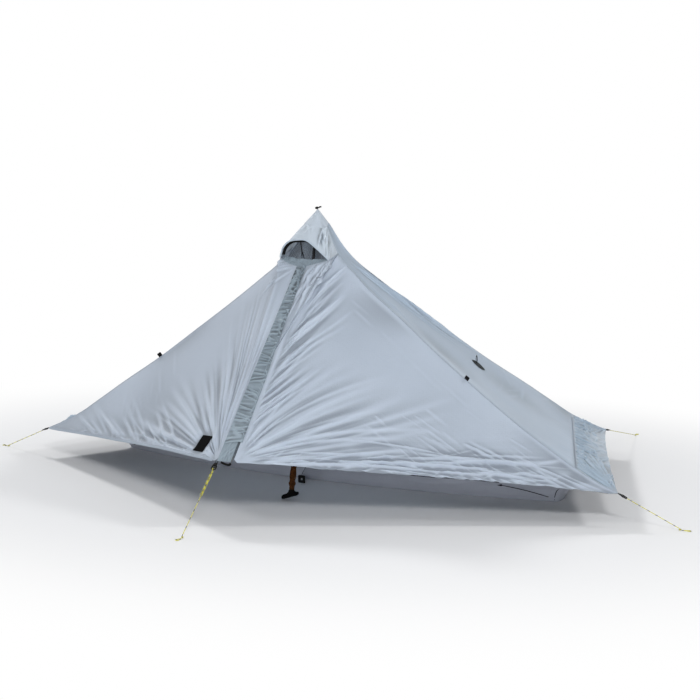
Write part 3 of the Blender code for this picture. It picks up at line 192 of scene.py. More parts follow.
def zip_place(share, side, height):
    """A place across the zip's line, counted to its left, and out of the cloth."""
    across = left_of_zip(share) if side >= 0 else -right_of_zip(share)
    out = zip_axis.cross(across)
    return zip_foot.lerp(zip_top, share) + across * side + out * height


def smooth_path(points, spacing):
    dense = []
    for k in range(len(points) - 1):
        a, b = points[k], points[k + 1]
        before = points[k - 1] if k else a + (a - b)
        after = points[k + 2] if k + 2 < len(points) else b + (b - a)
        for i in range(24):
            u = i / 24
            dense.append(0.5 * ((2 * a) + (b - before) * u
                                + (2 * before - 5 * a + 4 * b - after) * u**2
                                + (3 * a - before - 3 * b + after) * u**3))
    dense.append(points[-1].copy())
    lengths = [0.0]
    for a, b in zip(dense, dense[1:]):
        lengths.append(lengths[-1] + (b - a).length)
    count = max(round(lengths[-1] / spacing), 2) + 1
    out = []
    k = 0
    for u in steps(count):
        target = lengths[-1] * u
        while k < len(dense) - 2 and lengths[k + 1] < target:
            k += 1
        share = (target - lengths[k]) / (lengths[k + 1] - lengths[k])
        out.append(dense[k].lerp(dense[k + 1], min(max(share, 0.0), 1.0)))
    return out


def frame_from(origin, direction, upward):
    x = direction.normalized()
    y = upward.cross(x).normalized()
    z = x.cross(y)
    return Matrix.Translation(origin) @ Matrix((x, y, z)).transposed().to_4x4()


# ---------------------------------------------------------------- camera

yaw, pitch, roll = math.radians(26.798), math.radians(-8.165), math.radians(0.474)
forward = Vector((-math.sin(yaw) * math.cos(pitch), math.cos(yaw) * math.cos(pitch),
                  math.sin(pitch)))
level = Vector((math.cos(yaw), math.sin(yaw), 0))
high = level.cross(forward)
right2 = level * math.cos(roll) + high * math.sin(roll)
up2 = high * math.cos(roll) - level * math.sin(roll)
lens = bpy.data.cameras.new("camera")
lens.lens = 81.483
lens.sensor_width = 36.0
lens.clip_end = 200
camera = bpy.data.objects.new("camera", lens)
turn = Matrix((right2, up2, -forward)).transposed().to_4x4()
camera.matrix_world = Matrix.Translation((3.273, -6.4225, 1.607)) @ turn
bpy.context.scene.collection.objects.link(camera)
bpy.context.scene.camera = camera

# ---------------------------------------------------------------- materials


class Paint:
    """A small helper that builds one material's nodes."""

    def __init__(self, name, colour, roughness=0.5, metallic=0.0, sheen=0.0, specular=0.5,
                 coat=0.0):
        self.made = bpy.data.materials.new(name)
        self.made.use_nodes = True
        self.tree = self.made.node_tree
        self.shader = self.tree.nodes["Principled BSDF"]
        self.set("Base Color", (*colour, 1.0))
        self.set("Roughness", roughness)
        self.set("Metallic", metallic)
        self.set("Sheen Weight", sheen)
        self.set("Specular IOR Level", specular)
        self.set("Coat Weight", coat)
        self.height = None

    def set(self, socket, value):
        self.shader.inputs[socket].default_value = value

    def node(self, kind, **values):
        made = self.tree.nodes.new(kind)
        for key, value in values.items():
            if hasattr(made, key):
                setattr(made, key, value)
            else:
                made.inputs[key.replace("_", " ")].default_value = value
        return made

    def link(self, a, b):
        self.tree.links.new(a, b)

    def coordinates(self, source="UV", scale=(1, 1, 1)):
        places = self.node("ShaderNodeTexCoord")
        mapping = self.node("ShaderNodeMapping")
        mapping.inputs["Scale"].default_value = scale
        self.link(places.outputs[source], mapping.inputs["Vector"])
        return mapping.outputs["Vector"]

    def noise(self, source, size, detail=4.0, rough=0.55, twist=0.0, scale=(1, 1, 1)):
        made = self.node("ShaderNodeTexNoise", Scale=size, Detail=detail, Roughness=rough,
                         Distortion=twist)
        self.link(self.coordinates(source, scale), made.inputs["Vector"])
        return made.outputs["Fac"]

    def wave(self, source, size, direction="X", twist=0.0):
        made = self.node("ShaderNodeTexWave", Scale=size, Distortion=twist)
        made.bands_direction = direction
        self.link(self.coordinates(source), made.inputs["Vector"])
        return made.outputs["Fac"]

    def threads(self, operation, source, size, second="Y"):
        """Bands across each other, as in a weave."""
        return self.maths(operation, self.wave(source, size), self.wave(source, size, second))

    def maths(self, operation, a, b=None):
        made = self.node("ShaderNodeMath")
        made.operation = operation
        for i, value in enumerate((a, b)):
            if value is None:
                continue
            if isinstance(value, (int, float)):
                made.inputs[i].default_value = value
            else:
                self.link(value, made.inputs[i])
        return made.outputs[0]

    def ramp(self, factor, stops):
        made = self.node("ShaderNodeValToRGB")
        points = made.color_ramp.elements
        while len(points) < len(stops):
            points.new(0.5)
        for point, (place, colour) in zip(points, stops):
            point.position = place
            shade = colour if hasattr(colour, "__len__") else (colour,) * 3
            point.color = (*shade, 1.0)
        self.link(factor, made.inputs["Fac"])
        return made.outputs["Color"]

    def mix(self, factor, a, b):
        made = self.node("ShaderNodeMix")
        made.data_type = "RGBA"
        for socket, value in ((made.inputs[0], factor), (made.inputs[6], a), (made.inputs[7], b)):
            if isinstance(value, (int, float)):
                socket.default_value = value
            elif hasattr(value, "is_output"):
                self.link(value, socket)
            else:
                socket.default_value = (*value, 1.0)
        return made.outputs[2]

    def colour(self, output):
        self.link(output, self.shader.inputs["Base Color"])

    def roughness(self, output):
        self.link(output, self.shader.inputs["Roughness"])

    def bump(self, output, strength=0.3, distance=0.001):
        made = self.node("ShaderNodeBump", Strength=strength, Distance=distance)
        self.link(output, made.inputs["Height"])
        if self.height is not None:
            self.link(self.height, made.inputs["Normal"])
        self.height = made.outputs["Normal"]
        self.link(self.height, self.shader.inputs["Normal"])


def ripstop(name, base, shade, rough=0.50, crinkle=1.0, crinkle_size=38.0, shine=0.12,
            deep=0.80, dark=0.50):
    """Coated nylon: a fine ripstop grid, soft crinkles and slight changes of tone.

    Painted shade and highlight: the troughs of the mesh's own folds take the share deep of a colour
    dark times the base, and their crests go lighter.
    """
    paint = Paint(name, base, rough, sheen=0.2, specular=shine)
    paint.set("Sheen Roughness", 0.4)
    tone = paint.noise("UV", 2.3, 3.0)
    cloud = paint.ramp(tone, ((0.30, shade), (0.72, base)))
    thread = paint.threads("MAXIMUM", "UV", 31.8)
    lines = paint.ramp(thread, ((0.965, 0.0), (0.998, 1.0)))
    darker = tuple(c * 0.86 for c in base)
    woven_tone = paint.mix(paint.maths("MULTIPLY", lines, 0.45), cloud, darker)
    # Painted shade and painted highlight from the mesh's fold attribute: troughs darker, crests
    # lighter, whatever the lamps do.
    folded = paint.node("ShaderNodeAttribute", attribute_name="fold").outputs["Fac"]
    below = paint.maths("MAXIMUM", paint.maths("MULTIPLY", folded, -1.0), 0.0)
    painted_trough_shade = paint.maths("MULTIPLY", below, deep)
    crest = paint.maths("MULTIPLY", paint.maths("MAXIMUM", folded, 0.0), 0.26)
    shaded = paint.mix(painted_trough_shade, woven_tone, tuple(c * dark for c in base))
    paint.colour(paint.mix(crest, shaded, tuple(min(c * 1.45, 1.0) for c in base)))
    fine = paint.noise("UV", crinkle_size, 5.0, 0.62, 0.4)
    sharp = paint.maths("ABSOLUTE", paint.maths("SUBTRACT", fine, 0.5))
    paint.bump(sharp, crinkle, 0.004)
    paint.bump(lines, 0.25, 0.0002)
    gloss = paint.noise("UV", 9.0, 3.0)
    paint.roughness(paint.ramp(gloss, ((0.3, rough - 0.06), (0.7, rough + 0.08))))
    return paint


def woven(name, base, dark, size=420.0, rough=0.75, strength=0.6):
    """Narrow webbing or tape with its crossing threads."""
    paint = Paint(name, base, rough, specular=0.12)
    weave = paint.threads("MULTIPLY", "Object", size, "Z")
    paint.colour(paint.ramp(weave, ((0.1, dark), (0.7, base))))
    paint.bump(weave, strength, 0.0005)
    dust = paint.noise("Object", 60.0, 4.0)
    paint.roughness(paint.ramp(dust, ((0.3, rough - 0.08), (0.7, rough + 0.1))))
    return paint


def moulded(name, base, rough=0.38, metallic=0.0, size=300.0, strength=0.12, wear=None,
            stretch=(1, 1, 1), shine=0.25):
    """Moulded plastic or drawn metal, a little worn."""
    paint = Paint(name, base, rough, metallic, specular=shine)
    grain = paint.noise("Object", size, 4.0, scale=stretch)
    light = wear or tuple(min(c * 1.7 + 0.01, 1) for c in base)
    paint.colour(paint.ramp(paint.noise("Object", 45.0, 5.0, 0.65, scale=stretch),
                            ((0.45, base), (0.80, light))))
    paint.bump(grain, strength, 0.0004)
    paint.roughness(paint.ramp(grain, ((0.3, max(rough - 0.1, 0.05)), (0.7, rough + 0.12))))
    return paint


cloth = ripstop("canopy_cloth", (0.435, 0.492, 0.572), (0.395, 0.450, 0.530))
# Painted shade: the canopy's fabric again, its base a little darker and bluer, for the end walls
# that face the sides.
end_cloth = ripstop("end_cloth", (0.389, 0.464, 0.553), (0.352, 0.424, 0.512))
# Painted light: the canopy's fabric again, its base lighter, for the hood and the cap that face up
# and forward.
hood_cloth = ripstop("hood_cloth", (0.520, 0.585, 0.650), (0.475, 0.535, 0.605), 0.46,
                     deep=0.85, dark=0.45)
# Painted shade: the canopy's fabric again, darker, for the tails low on the end walls; it also
# shines more.
tail_cloth = ripstop("tail_cloth", (0.335, 0.418, 0.505), (0.270, 0.348, 0.435), 0.34, 0.9, 26.0,
                     shine=0.30, deep=0.95, dark=0.48)
band_cloth = ripstop("band_cloth", (0.275, 0.332, 0.380), (0.205, 0.260, 0.305), 0.42, 1.0, 60.0,
                     shine=0.22, deep=1.0, dark=0.35)
seam_cloth = ripstop("seam_cloth", (0.395, 0.452, 0.530), (0.350, 0.405, 0.480), 0.5, 0.7, 90.0)
floor_cloth = ripstop("floor_cloth", (0.460, 0.486, 0.555), (0.375, 0.400, 0.465), 0.5, 0.8,
                      24.0)
tape_cloth = woven("zip_tape", (0.150, 0.178, 0.205), (0.085, 0.100, 0.118), 520.0)
webbing_cloth = woven("webbing_cloth", (0.010, 0.010, 0.011), (0.003, 0.003, 0.003), 460.0)
patch_cloth = woven("patch_cloth", (0.050, 0.058, 0.064), (0.022, 0.025, 0.028), 700.0)
binding_cloth = woven("binding_cloth", (0.560, 0.630, 0.700), (0.430, 0.500, 0.575), 600.0, 0.6,
                      0.4)
buckle_plastic = moulded("buckle_plastic", (0.004, 0.004, 0.005), 0.45, wear=(0.010, 0.010, 0.011),
                         shine=0.12)
head_rubber = moulded("head_rubber", (0.002, 0.002, 0.002), 0.7, size=700.0, strength=0.3,
                      wear=(0.005, 0.005, 0.005), shine=0.04)
slider_metal = moulded("slider_metal", (0.10, 0.10, 0.105), 0.35, 1.0, 900.0, 0.1)
shaft_metal = moulded("shaft_metal", (0.020, 0.020, 0.022), 0.28, 0.6, 500.0, 0.06,
                      (0.05, 0.05, 0.055), (1, 1, 0.05))


def stitch_paint():
    """Thread: short stitches with gaps between them."""
    paint = Paint("stitch_thread", (0.20, 0.25, 0.30), 0.6, sheen=0.3)
    twist = paint.wave("UV", 300.0, "X", 0.6)
    paint.colour(paint.ramp(twist, ((0.3, (0.13, 0.17, 0.21)), (0.7, (0.26, 0.32, 0.38)))))
    paint.bump(twist, 0.5, 0.0003)
    return paint


thread = stitch_paint()


def cork_paint():
    """The grip's cork: warm brown, with dark pores and lighter grains."""
    paint = Paint("grip_cork", (0.080, 0.030, 0.010), 0.8, specular=0.05)
    grains = paint.node("ShaderNodeTexVoronoi", Scale=260.0)
    paint.link(paint.coordinates("Object"), grains.inputs["Vector"])
    pores = paint.noise("Object", 420.0, 5.0, 0.7)
    warm = paint.ramp(grains.outputs["Color"], ((0.15, (0.028, 0.009, 0.003)),
                                                (0.55, (0.060, 0.021, 0.006)),
                                                (0.9, (0.105, 0.040, 0.012))))
    paint.colour(paint.mix(paint.ramp(pores, ((0.62, 0.0), (0.70, 1.0))), warm,
                           (0.028, 0.011, 0.005)))
    paint.bump(pores, 0.5, 0.0006)
    return paint


grip_cork = cork_paint()


def line_paint():
    """A yellow braided line with dark tracer flecks."""
    paint = Paint("guyline_braid", (0.62, 0.58, 0.04), 0.55, sheen=0.3)
    flecks = paint.wave("UV", 16.0, "DIAGONAL", 0.0)
    braid = paint.wave("UV", 150.0, "DIAGONAL", 0.3)
    yellow = paint.ramp(braid, ((0.2, (0.42, 0.38, 0.02)), (0.7, (0.74, 0.70, 0.06))))
    paint.colour(paint.mix(paint.ramp(flecks, ((0.80, 0.0), (0.86, 1.0))), yellow,
                           (0.03, 0.03, 0.015)))
    paint.bump(braid, 0.6, 0.0004)
    return paint


line_braid = line_paint()
cord_braid = woven("shock_cord", (0.035, 0.036, 0.04), (0.012, 0.012, 0.014), 900.0)


def net_paint():
    """Fine no-see-um netting: open between its threads."""
    paint = Paint("netting", (0.055, 0.060, 0.066), 0.8)
    cells = paint.threads("MAXIMUM", "UV", 260.0)
    paint.link(paint.ramp(cells, ((0.40, 0.12), (0.85, 0.80))), paint.shader.inputs["Alpha"])
    tone = paint.noise("UV", 6.0, 3.0)
    paint.colour(paint.ramp(tone, ((0.3, (0.045, 0.049, 0.054)), (0.7, (0.075, 0.081, 0.089)))))
    return paint


netting = net_paint()

# ---------------------------------------------------------------- cloth by grids


def lattice(ix, iy, seed):
    value = np.sin(ix * 127.1 + iy * 311.7 + seed * 74.7) * 43758.5453
    return value - np.floor(value)


def noise(x, y, seed):
    """Smooth value noise from 0 to 1."""
    ix, iy = np.floor(x), np.floor(y)
    fx, fy = x - ix, y - iy
    fx, fy = fx * fx * (3 - 2 * fx), fy * fy * (3 - 2 * fy)
    a, b = lattice(ix, iy, seed), lattice(ix + 1, iy, seed)
    c, d = lattice(ix, iy + 1, seed), lattice(ix + 1, iy + 1, seed)
    return (a * (1 - fx) + b * fx) * (1 - fy) + (c * (1 - fx) + d * fx) * fy


def creases(x, y, seed, octaves=3):
    """Sharp-topped folds with flat troughs, about zero on average."""
    total, weight = 0.0, 1.0
    for k in range(octaves):
        n = noise(x * 2**k, y * 1.6**k, seed + 11 * k)
        total = total + weight * ((1 - np.abs(2 * n - 1))**1.6 - 0.42)
        weight *= 0.5
    return total


def smooth(low, high, value):
    t = np.clip((value - low) / (high - low), 0, 1)
    return t * t * (3 - 2 * t)


def crease(A, B, x, y, angle, length, width, height, grow=0.0, curve=0.0):
    """One fold from (x, y) along an angle on a panel's plane, its crest sharp."""
    c, s = math.cos(angle), math.sin(angle)
    along = (A - x) * c + (B - y) * s
    aside = (B - y) * c - (A - x) * s - curve * along**2
    wide = width * (1 + grow * np.clip(along, 0, None))
    crest = np.exp(-(np.abs(aside) / wide)**1.35) - 0.45 * np.exp(-(aside / (2.0 * wide))**2)
    ends = smooth(0, 0.16 * length, along) * (1 - smooth(0.40 * length, length, along))
    return height * crest * ends


def creased(A, B, rows):
    """The sum of many folds, one per row of crease's numbers."""
    return sum(crease(A, B, *row) for row in rows)


def fan_folds(seed, count, low, high, near, far, width, height, grow=2.2, curve=0.0):
    """Folds that spread out of a corner at the origin."""
    dice = np.random.default_rng(seed)
    rows = []
    for k in range(count):
        r = dice.random(5)
        angle = low + (high - low) * (k + 0.15 + 0.7 * r[0]) / count
        start = near * (0.4 + 1.2 * r[1])
        length = far[0] + (far[1] - far[0]) * r[2]
        rows.append((start * math.cos(angle), start * math.sin(angle), angle, length,
                     width * (0.6 + 0.9 * r[3]), height * (0.45 + 0.75 * r[4]), grow,
                     curve * (0.5 + r[1])))
    return rows


def line_folds(seed, count, start, end, lean, length, width, height, spread=0.0, curve=0.0):
    """Folds that leave a line one after another, each at about the same angle."""
    dice = np.random.default_rng(seed)
    rows = []
    for k in range(count):
        r = dice.random(7)
        t = (k + r[0]) / count
        x = start[0] + (end[0] - start[0]) * t + spread * (r[5] - 0.5)
        y = start[1] + (end[1] - start[1]) * t + spread * (r[6] - 0.5)
        rows.append((x, y, lean[0] + (lean[1] - lean[0]) * r[1],
                     length[0] + (length[1] - length[0]) * r[2], width * (0.6 + 0.8 * r[3]),
                     height * (0.4 + 0.8 * r[4]), 0.8, curve * (r[5] - 0.3)))
    return rows


def grid_of(place, us, vs):
    """An array of points from place(u, v)."""
    return np.array([[tuple(place(u, v)) for u in us] for v in vs])


def plane_uv(across, along):
    return np.stack(np.meshgrid(across, along), axis=-1)


def normals_of(P):
    n = np.cross(np.gradient(P, axis=1), np.gradient(P, axis=0))
    return n / np.maximum(np.linalg.norm(n, axis=2, keepdims=True), 1e-12)


def outward_normals(P, outward):
    n = normals_of(P)
    return -n if (n * np.array(outward)).sum() < 0 else n


def displaced(P, height, outward=None):
    """Moves a grid's points along its normals, turned to one side if that is given."""
    n = normals_of(P) if outward is None else outward_normals(P, outward)
    return P + n * height[..., None]


def flat_places(P, x_axis):
    """Cloth coordinates in metres on a panel's own plane."""
    n = normals_of(P).reshape(-1, 3).mean(0)
    n = n / np.linalg.norm(n)
    x = np.array(x_axis, float)
    x = x - n * x.dot(n)
    x /= np.linalg.norm(x)
    y = np.cross(n, x)
    return np.stack([P @ x, P @ y], axis=-1)


def add_mesh(name, points, faces, paint, uv):
    data = bpy.data.meshes.new(name)
    data.from_pydata([tuple(p) for p in points], [], faces)
    data.update()
    layer = data.uv_layers.new(name="cloth")
    corner = np.empty(len(data.loops), dtype=np.int32)
    data.loops.foreach_get("vertex_index", corner)
    layer.data.foreach_set("uv", np.asarray(uv, float)[corner].astype(np.float32).ravel())
    data.shade_smooth()
    data.materials.append(paint.made)
    made = bpy.data.objects.new(name, data)
    bpy.context.scene.collection.objects.link(made)
    return made


def fold_of(height):
    """How far each point is below or above the cloth round it, from -1 to 1: the mask of the
    cloth's painted shade and painted highlight.
    """
    soft = height
    for axis in (0, 1):
        for reach in (4, 7, 10):
            soft = (np.roll(soft, reach, axis) + np.roll(soft, -reach, axis) + soft) / 3
    return np.clip((height - soft) / 0.0035, -1, 1)


def grid_faces(rows, cols, closed=False):
    faces = []
    for j in range(rows - 1):
        for i in range(cols if closed else cols - 1):
            k = (i + 1) % cols
            faces.append((j * cols + i, j * cols + k, (j + 1) * cols + k, (j + 1) * cols + i))
    return faces


def add_grid(name, P, paint, uv=None, closed=False, x_axis=(1, 0, 0), fold=None):
    uv = flat_places(P, x_axis) if uv is None else uv
    made = add_mesh(name, P.reshape(-1, 3), grid_faces(*P.shape[:2], closed), paint,
                    uv.reshape(-1, 2))
    # The fold attribute is the mask of the cloth's painted shade in troughs and painted highlight
    # on crests.
    if fold is not None:
        layer = made.data.attributes.new("fold", "FLOAT", "POINT")
        layer.data.foreach_set("value", fold_of(fold).astype(np.float32).ravel())
    return made


def area_of(obj):
    return sum(p.area for p in obj.data.polygons)


def declare(obj, body, replaced):
    """Rides a sheet on its body and hides the solid that it stands for."""
    if body:
        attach(obj, body)
    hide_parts(replaced)
    area = area_of(obj)
    layer = obj.data.uv_layers[0].data
    uv = np.empty(len(layer) * 2, np.float32)
    layer.foreach_get("uv", uv)
    width, length = sorted(float(x) for x in np.ptp(uv.reshape(-1, 2), axis=0))
    width = min(max(width, 1.02 * area / length), 2.5 * area / length)


def on_tent(obj, *replaced):
    """Rides a piece on the tent and hides the solids that it stands for."""
    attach(obj, "tent")
    if replaced:
        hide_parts(*replaced)
    return obj


def thicken(obj, thickness, offset=-1.0):
    made = obj.modifiers.new("cloth", "SOLIDIFY")
    made.thickness = thickness
    made.offset = offset


def ribbon(name, path, sides, width, lift, paint):
    """A thin strip along a path. sides gives each point's way across and way out."""
    rows, uv = [], []
    run = 0.0
    for k, (p, (across, out)) in enumerate(zip(path, sides)):
        if k:
            run += (p - path[k - 1]).length
        row, flat = [], []
        for t, h in ((-0.5, 0), (-0.46, 1), (0, 1.35), (0.46, 1), (0.5, 0)):
            row.append(tuple(p + across * (t * width) + out * (lift + h * 0.0006)))
            flat.append((run, t * width))
        rows.append(row)
        uv.append(flat)
    return add_grid(name, np.array(rows), paint, np.array(uv))


def tube_mesh(name, path, radius, paint, sides=8):
    """A round cord through points, capped at both ends."""
    points, faces, uv = [], [], []
    run = 0.0
    before = None
    for k, p in enumerate(path):
        ahead = (path[min(k + 1, len(path) - 1)] - path[max(k - 1, 0)]).normalized()
        if before is None:
            before = ahead.orthogonal().normalized()
        side = (before - ahead * before.dot(ahead)).normalized()
        before = side
        other = ahead.cross(side)
        if k:
            run += (p - path[k - 1]).length
        for i in range(sides):
            a = 2 * math.pi * i / sides
            points.append(p + (side * math.cos(a) + other * math.sin(a)) * radius)
            uv.append((run, radius * a))
    for k in range(len(path) - 1):
        for i in range(sides):
            j = (i + 1) % sides
            faces.append((k * sides + i, k * sides + j, (k + 1) * sides + j,
                          (k + 1) * sides + i))
    faces.append(tuple(range(sides))[::-1])
    faces.append(tuple((len(path) - 1) * sides + i for i in range(sides)))
    return add_mesh(name, points, faces, paint, uv)


def length_of(path):
    return sum((b - a).length for a, b in zip(path, path[1:]))


stitch_length, stitch_gap, stitch_half = 0.0034, 0.0016, 0.0005


def seam_dashes(name, path, sides, offset, lift):
    """A row of stitches beside a seam, each one a short raised dash."""
    marks = [0.0]
    for a, b in zip(path, path[1:]):
        marks.append(marks[-1] + (b - a).length)
    points, faces, uv = [], [], []
    place = 0.004
    while place + stitch_length < marks[-1]:
        ends = []
        for spot in (place, place + stitch_length):
            k = max(0, min(len(path) - 2, int(np.searchsorted(marks, spot)) - 1))
            u = (spot - marks[k]) / max(marks[k + 1] - marks[k], 1e-9)
            across, out = sides[k]
            ends.append((path[k].lerp(path[k + 1], u) + across * offset, across, out))
        (a, across, out), (b, _, _) = ends
        first = len(points)
        for p, rise in ((a, 0), (a.lerp(b, 0.5), 0.0005), (b, 0)):
            for t in (-stitch_half, stitch_half):
                points.append(p + across * t + out * (lift + rise))
                uv.append((place, t))
        faces += [(first, first + 1, first + 3, first + 2),
                  (first + 2, first + 3, first + 5, first + 4)]
        place += stitch_length + stitch_gap
    on_tent(add_mesh(name, points, faces, thread, uv))


# ---------------------------------------------------------------- guylines and cords

line_radius = 0.0015
seat = 0.0003
webbing_length, webbing_thickness = 0.026, 0.0014
buckle_bar, buckle_thickness = 0.0030, 0.0040
slot_width = 0.0056
bar_bend = math.hypot(buckle_thickness, buckle_bar) / 2 + seat
loop_out, loop_back, loop_radius = 0.0248, 0.0048, 0.0075


def corner_frame(corner, direction, hems=()):
    """Where a corner's webbing starts, and the bar that its line is tied to."""
    along_line = direction.normalized()
    lead = 0.0
    for end in hems:
        hem = end - corner
        ahead = hem.dot(along_line)
        aside = (hem - along_line * ahead).length
        lead = max(lead, ahead / aside * 0.0150 / 2)
    start = frame_from(corner + along_line * (lead + seat), direction, up)
    bar_at = webbing_length - bar_bend - webbing_thickness
    length = 3 * buckle_bar + 2 * slot_width
    return start, start @ Matrix.Translation((bar_at + length - buckle_bar, 0, 0))


ends = {"front": (front_point, (-0.009, -1.104, 0)), "right": (front_corner, (1.683, -0.040, 0)),
        "left": (left_corner, (-1.733, -0.018, 0)), "rear_right": (rear_corner, (0.941, 1.786, 0))}


def knot(name, centre, axis, size):
    """A small overhand knot: a trefoil of the same cord."""
    x = axis.normalized()
    y = x.orthogonal().normalized()
    z = x.cross(y)
    path = []
    for k in range(49):
        t = 2 * math.pi * k / 48
        a = math.sin(t) + 2 * math.sin(2 * t)
        b = math.cos(t) - 2 * math.cos(2 * t)
        c = -math.sin(3 * t)
        path.append(centre + (y * a + x * b + z * c * 1.2) * size)
    return tube_mesh(name, path, line_radius * 0.9, line_braid, 6)


def wound_end(bar, away):
    """The front line's spare end: two strands wound round it below the buckle."""
    side = away.cross(up).normalized()
    other = side.cross(away)
    for strand, phase in (("1", 0.0), ("2", math.pi)):
        tail = []
        for k in range(61):
            run = 0.010 + 0.118 * k / 60
            turned = phase + 2 * math.pi * run / 0.026
            reach = 0.0042 + 0.0012 * math.sin(3 * turned) * (k / 60)
            tail.append(bar + away * run + (side * math.cos(turned)
                                            + other * math.sin(turned)) * reach)
        loose = on_tent(tube_mesh("line_tail_" + strand, tail, line_radius, line_braid))
        length_of(tail)

def guyline(name, corner, end_place, hems=()):
    """A taut line from its buckle to the stake loop on the ground."""
    place = at(*end_place)
    _, bar_frame = corner_frame(corner, place - corner, hems)
    end = place + Vector((0, 0, line_radius + seat))
    bar = bar_frame.translation
    heading = Vector((end.x - bar.x, end.y - bar.y, 0)).normalized()
    across = Vector((-heading.y, heading.x, 0))
    loop = []
    for k in range(9):
        a = math.radians(-150 + 300 * k / 8)
        loop.append(end + heading * (loop_out + loop_radius * math.cos(a))
                    + across * loop_radius * math.sin(a))
    back = end + heading * loop_back + across * (line_radius * 2.6)
    away = (end - bar).normalized()
    if name == "front":
        x = bar_frame.to_3x3() @ Vector((1, 0, 0))
        z = bar_frame.to_3x3() @ Vector((0, 0, 1))
        wrap = bar_bend + seat + line_radius
        start = [bar + x * wrap * math.cos(a) + z * wrap * math.sin(a)
                 for a in (math.radians(20 + 40 * k) for k in range(9))]
        wound_end(bar, away)
    else:
        start = [bar + away * (buckle_bar / 2 + seat)]
    down = [start[-1].lerp(end, u) for u in (0.35, 0.7, 0.94)]
    path = start + smooth_path([start[-1]] + down + [end] + loop + [back], 0.0045)[1:]
    for p in path:
        p.z = max(p.z, line_radius + 2 * seat)
    tie = on_tent(knot("knot_" + name, end - heading * 0.012 + up * 0.003, heading, 0.0013))
    line = on_tent(tube_mesh("line_" + name, path, line_radius, line_braid), "guyline_" + name)
    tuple(path[0])
    length_of(path)


for name, (corner, end_place) in ends.items():
    guyline(name, corner, end_place, (rear_point,) if name == "rear_right" else ())

# ---------------------------------------------------------------- canopy panels

ridge_stations = stations(right_seam_run, 1)
left_stations = stations(left_seam_run, 1)
left_normal = (left_seam_peak - front_point).cross(left_corner - front_point).normalized()
outward_left = left_normal if left_normal.y < 0 else -left_normal
badge_centre = (front_point + (left_corner - front_point) * 0.098
                + (left_seam_peak - front_point) * 0.061)


def along_path(points, ridge_line, runs, t):
    """A place on a fan's outer path: straight pieces first, then a ridge."""
    last = len(points) - 1
    if t <= last:
        k = min(int(t), last - 1)
        return points[k].lerp(points[k + 1], t - k)
    return ridge_line(float(np.interp(t - last, range(len(runs)), runs)))


def fan_grid(hub, points, ridge_line, runs, across, down):
    """A flap's grid from its staked corner to the seams round it."""
    last = len(points) - 1 + len(runs) - 1
    shares = [0.012 + (1 - 0.012) * (k / (down - 1))**1.25 for k in range(down)]
    rows = []
    for r in shares:
        reach = 1 - 0.055 * (1 - r)
        row = [tuple(hub.lerp(along_path(points, ridge_line, runs, t * last * reach), r))
               for t in across]
        rows.append(row)
    return np.array(rows), np.array(shares)


def eased(P, shares, spread):
    """Rounds the kinks that run down a fan, all but at its outer seam and its side edges."""
    taps = np.arange(-3 * spread, 3 * spread + 1)
    weight = np.exp(-0.5 * (taps / spread)**2)
    weight /= weight.sum()
    wide = np.concatenate([2 * P[:, :1] - P[:, 3 * spread:0:-1], P,
                           2 * P[:, -1:] - P[:, -2:-3 * spread - 2:-1]], axis=1)
    soft = sum(w * wide[:, k:k + P.shape[1]] for k, w in enumerate(weight))
    mix = 1 - smooth(0.86, 1.0, shares)
    return P + (soft - P) * mix[:, None, None]


def polar(P, hub, x_axis, normal):
    """Angle and distance of a grid's points about a corner, on the panel's plane."""
    x = (x_axis - normal * x_axis.dot(normal)).normalized()
    y = normal.cross(x)
    d = P - np.array(hub)
    a, b = d @ np.array(x), d @ np.array(y)
    return np.arctan2(b, a), np.hypot(a, b), a, b


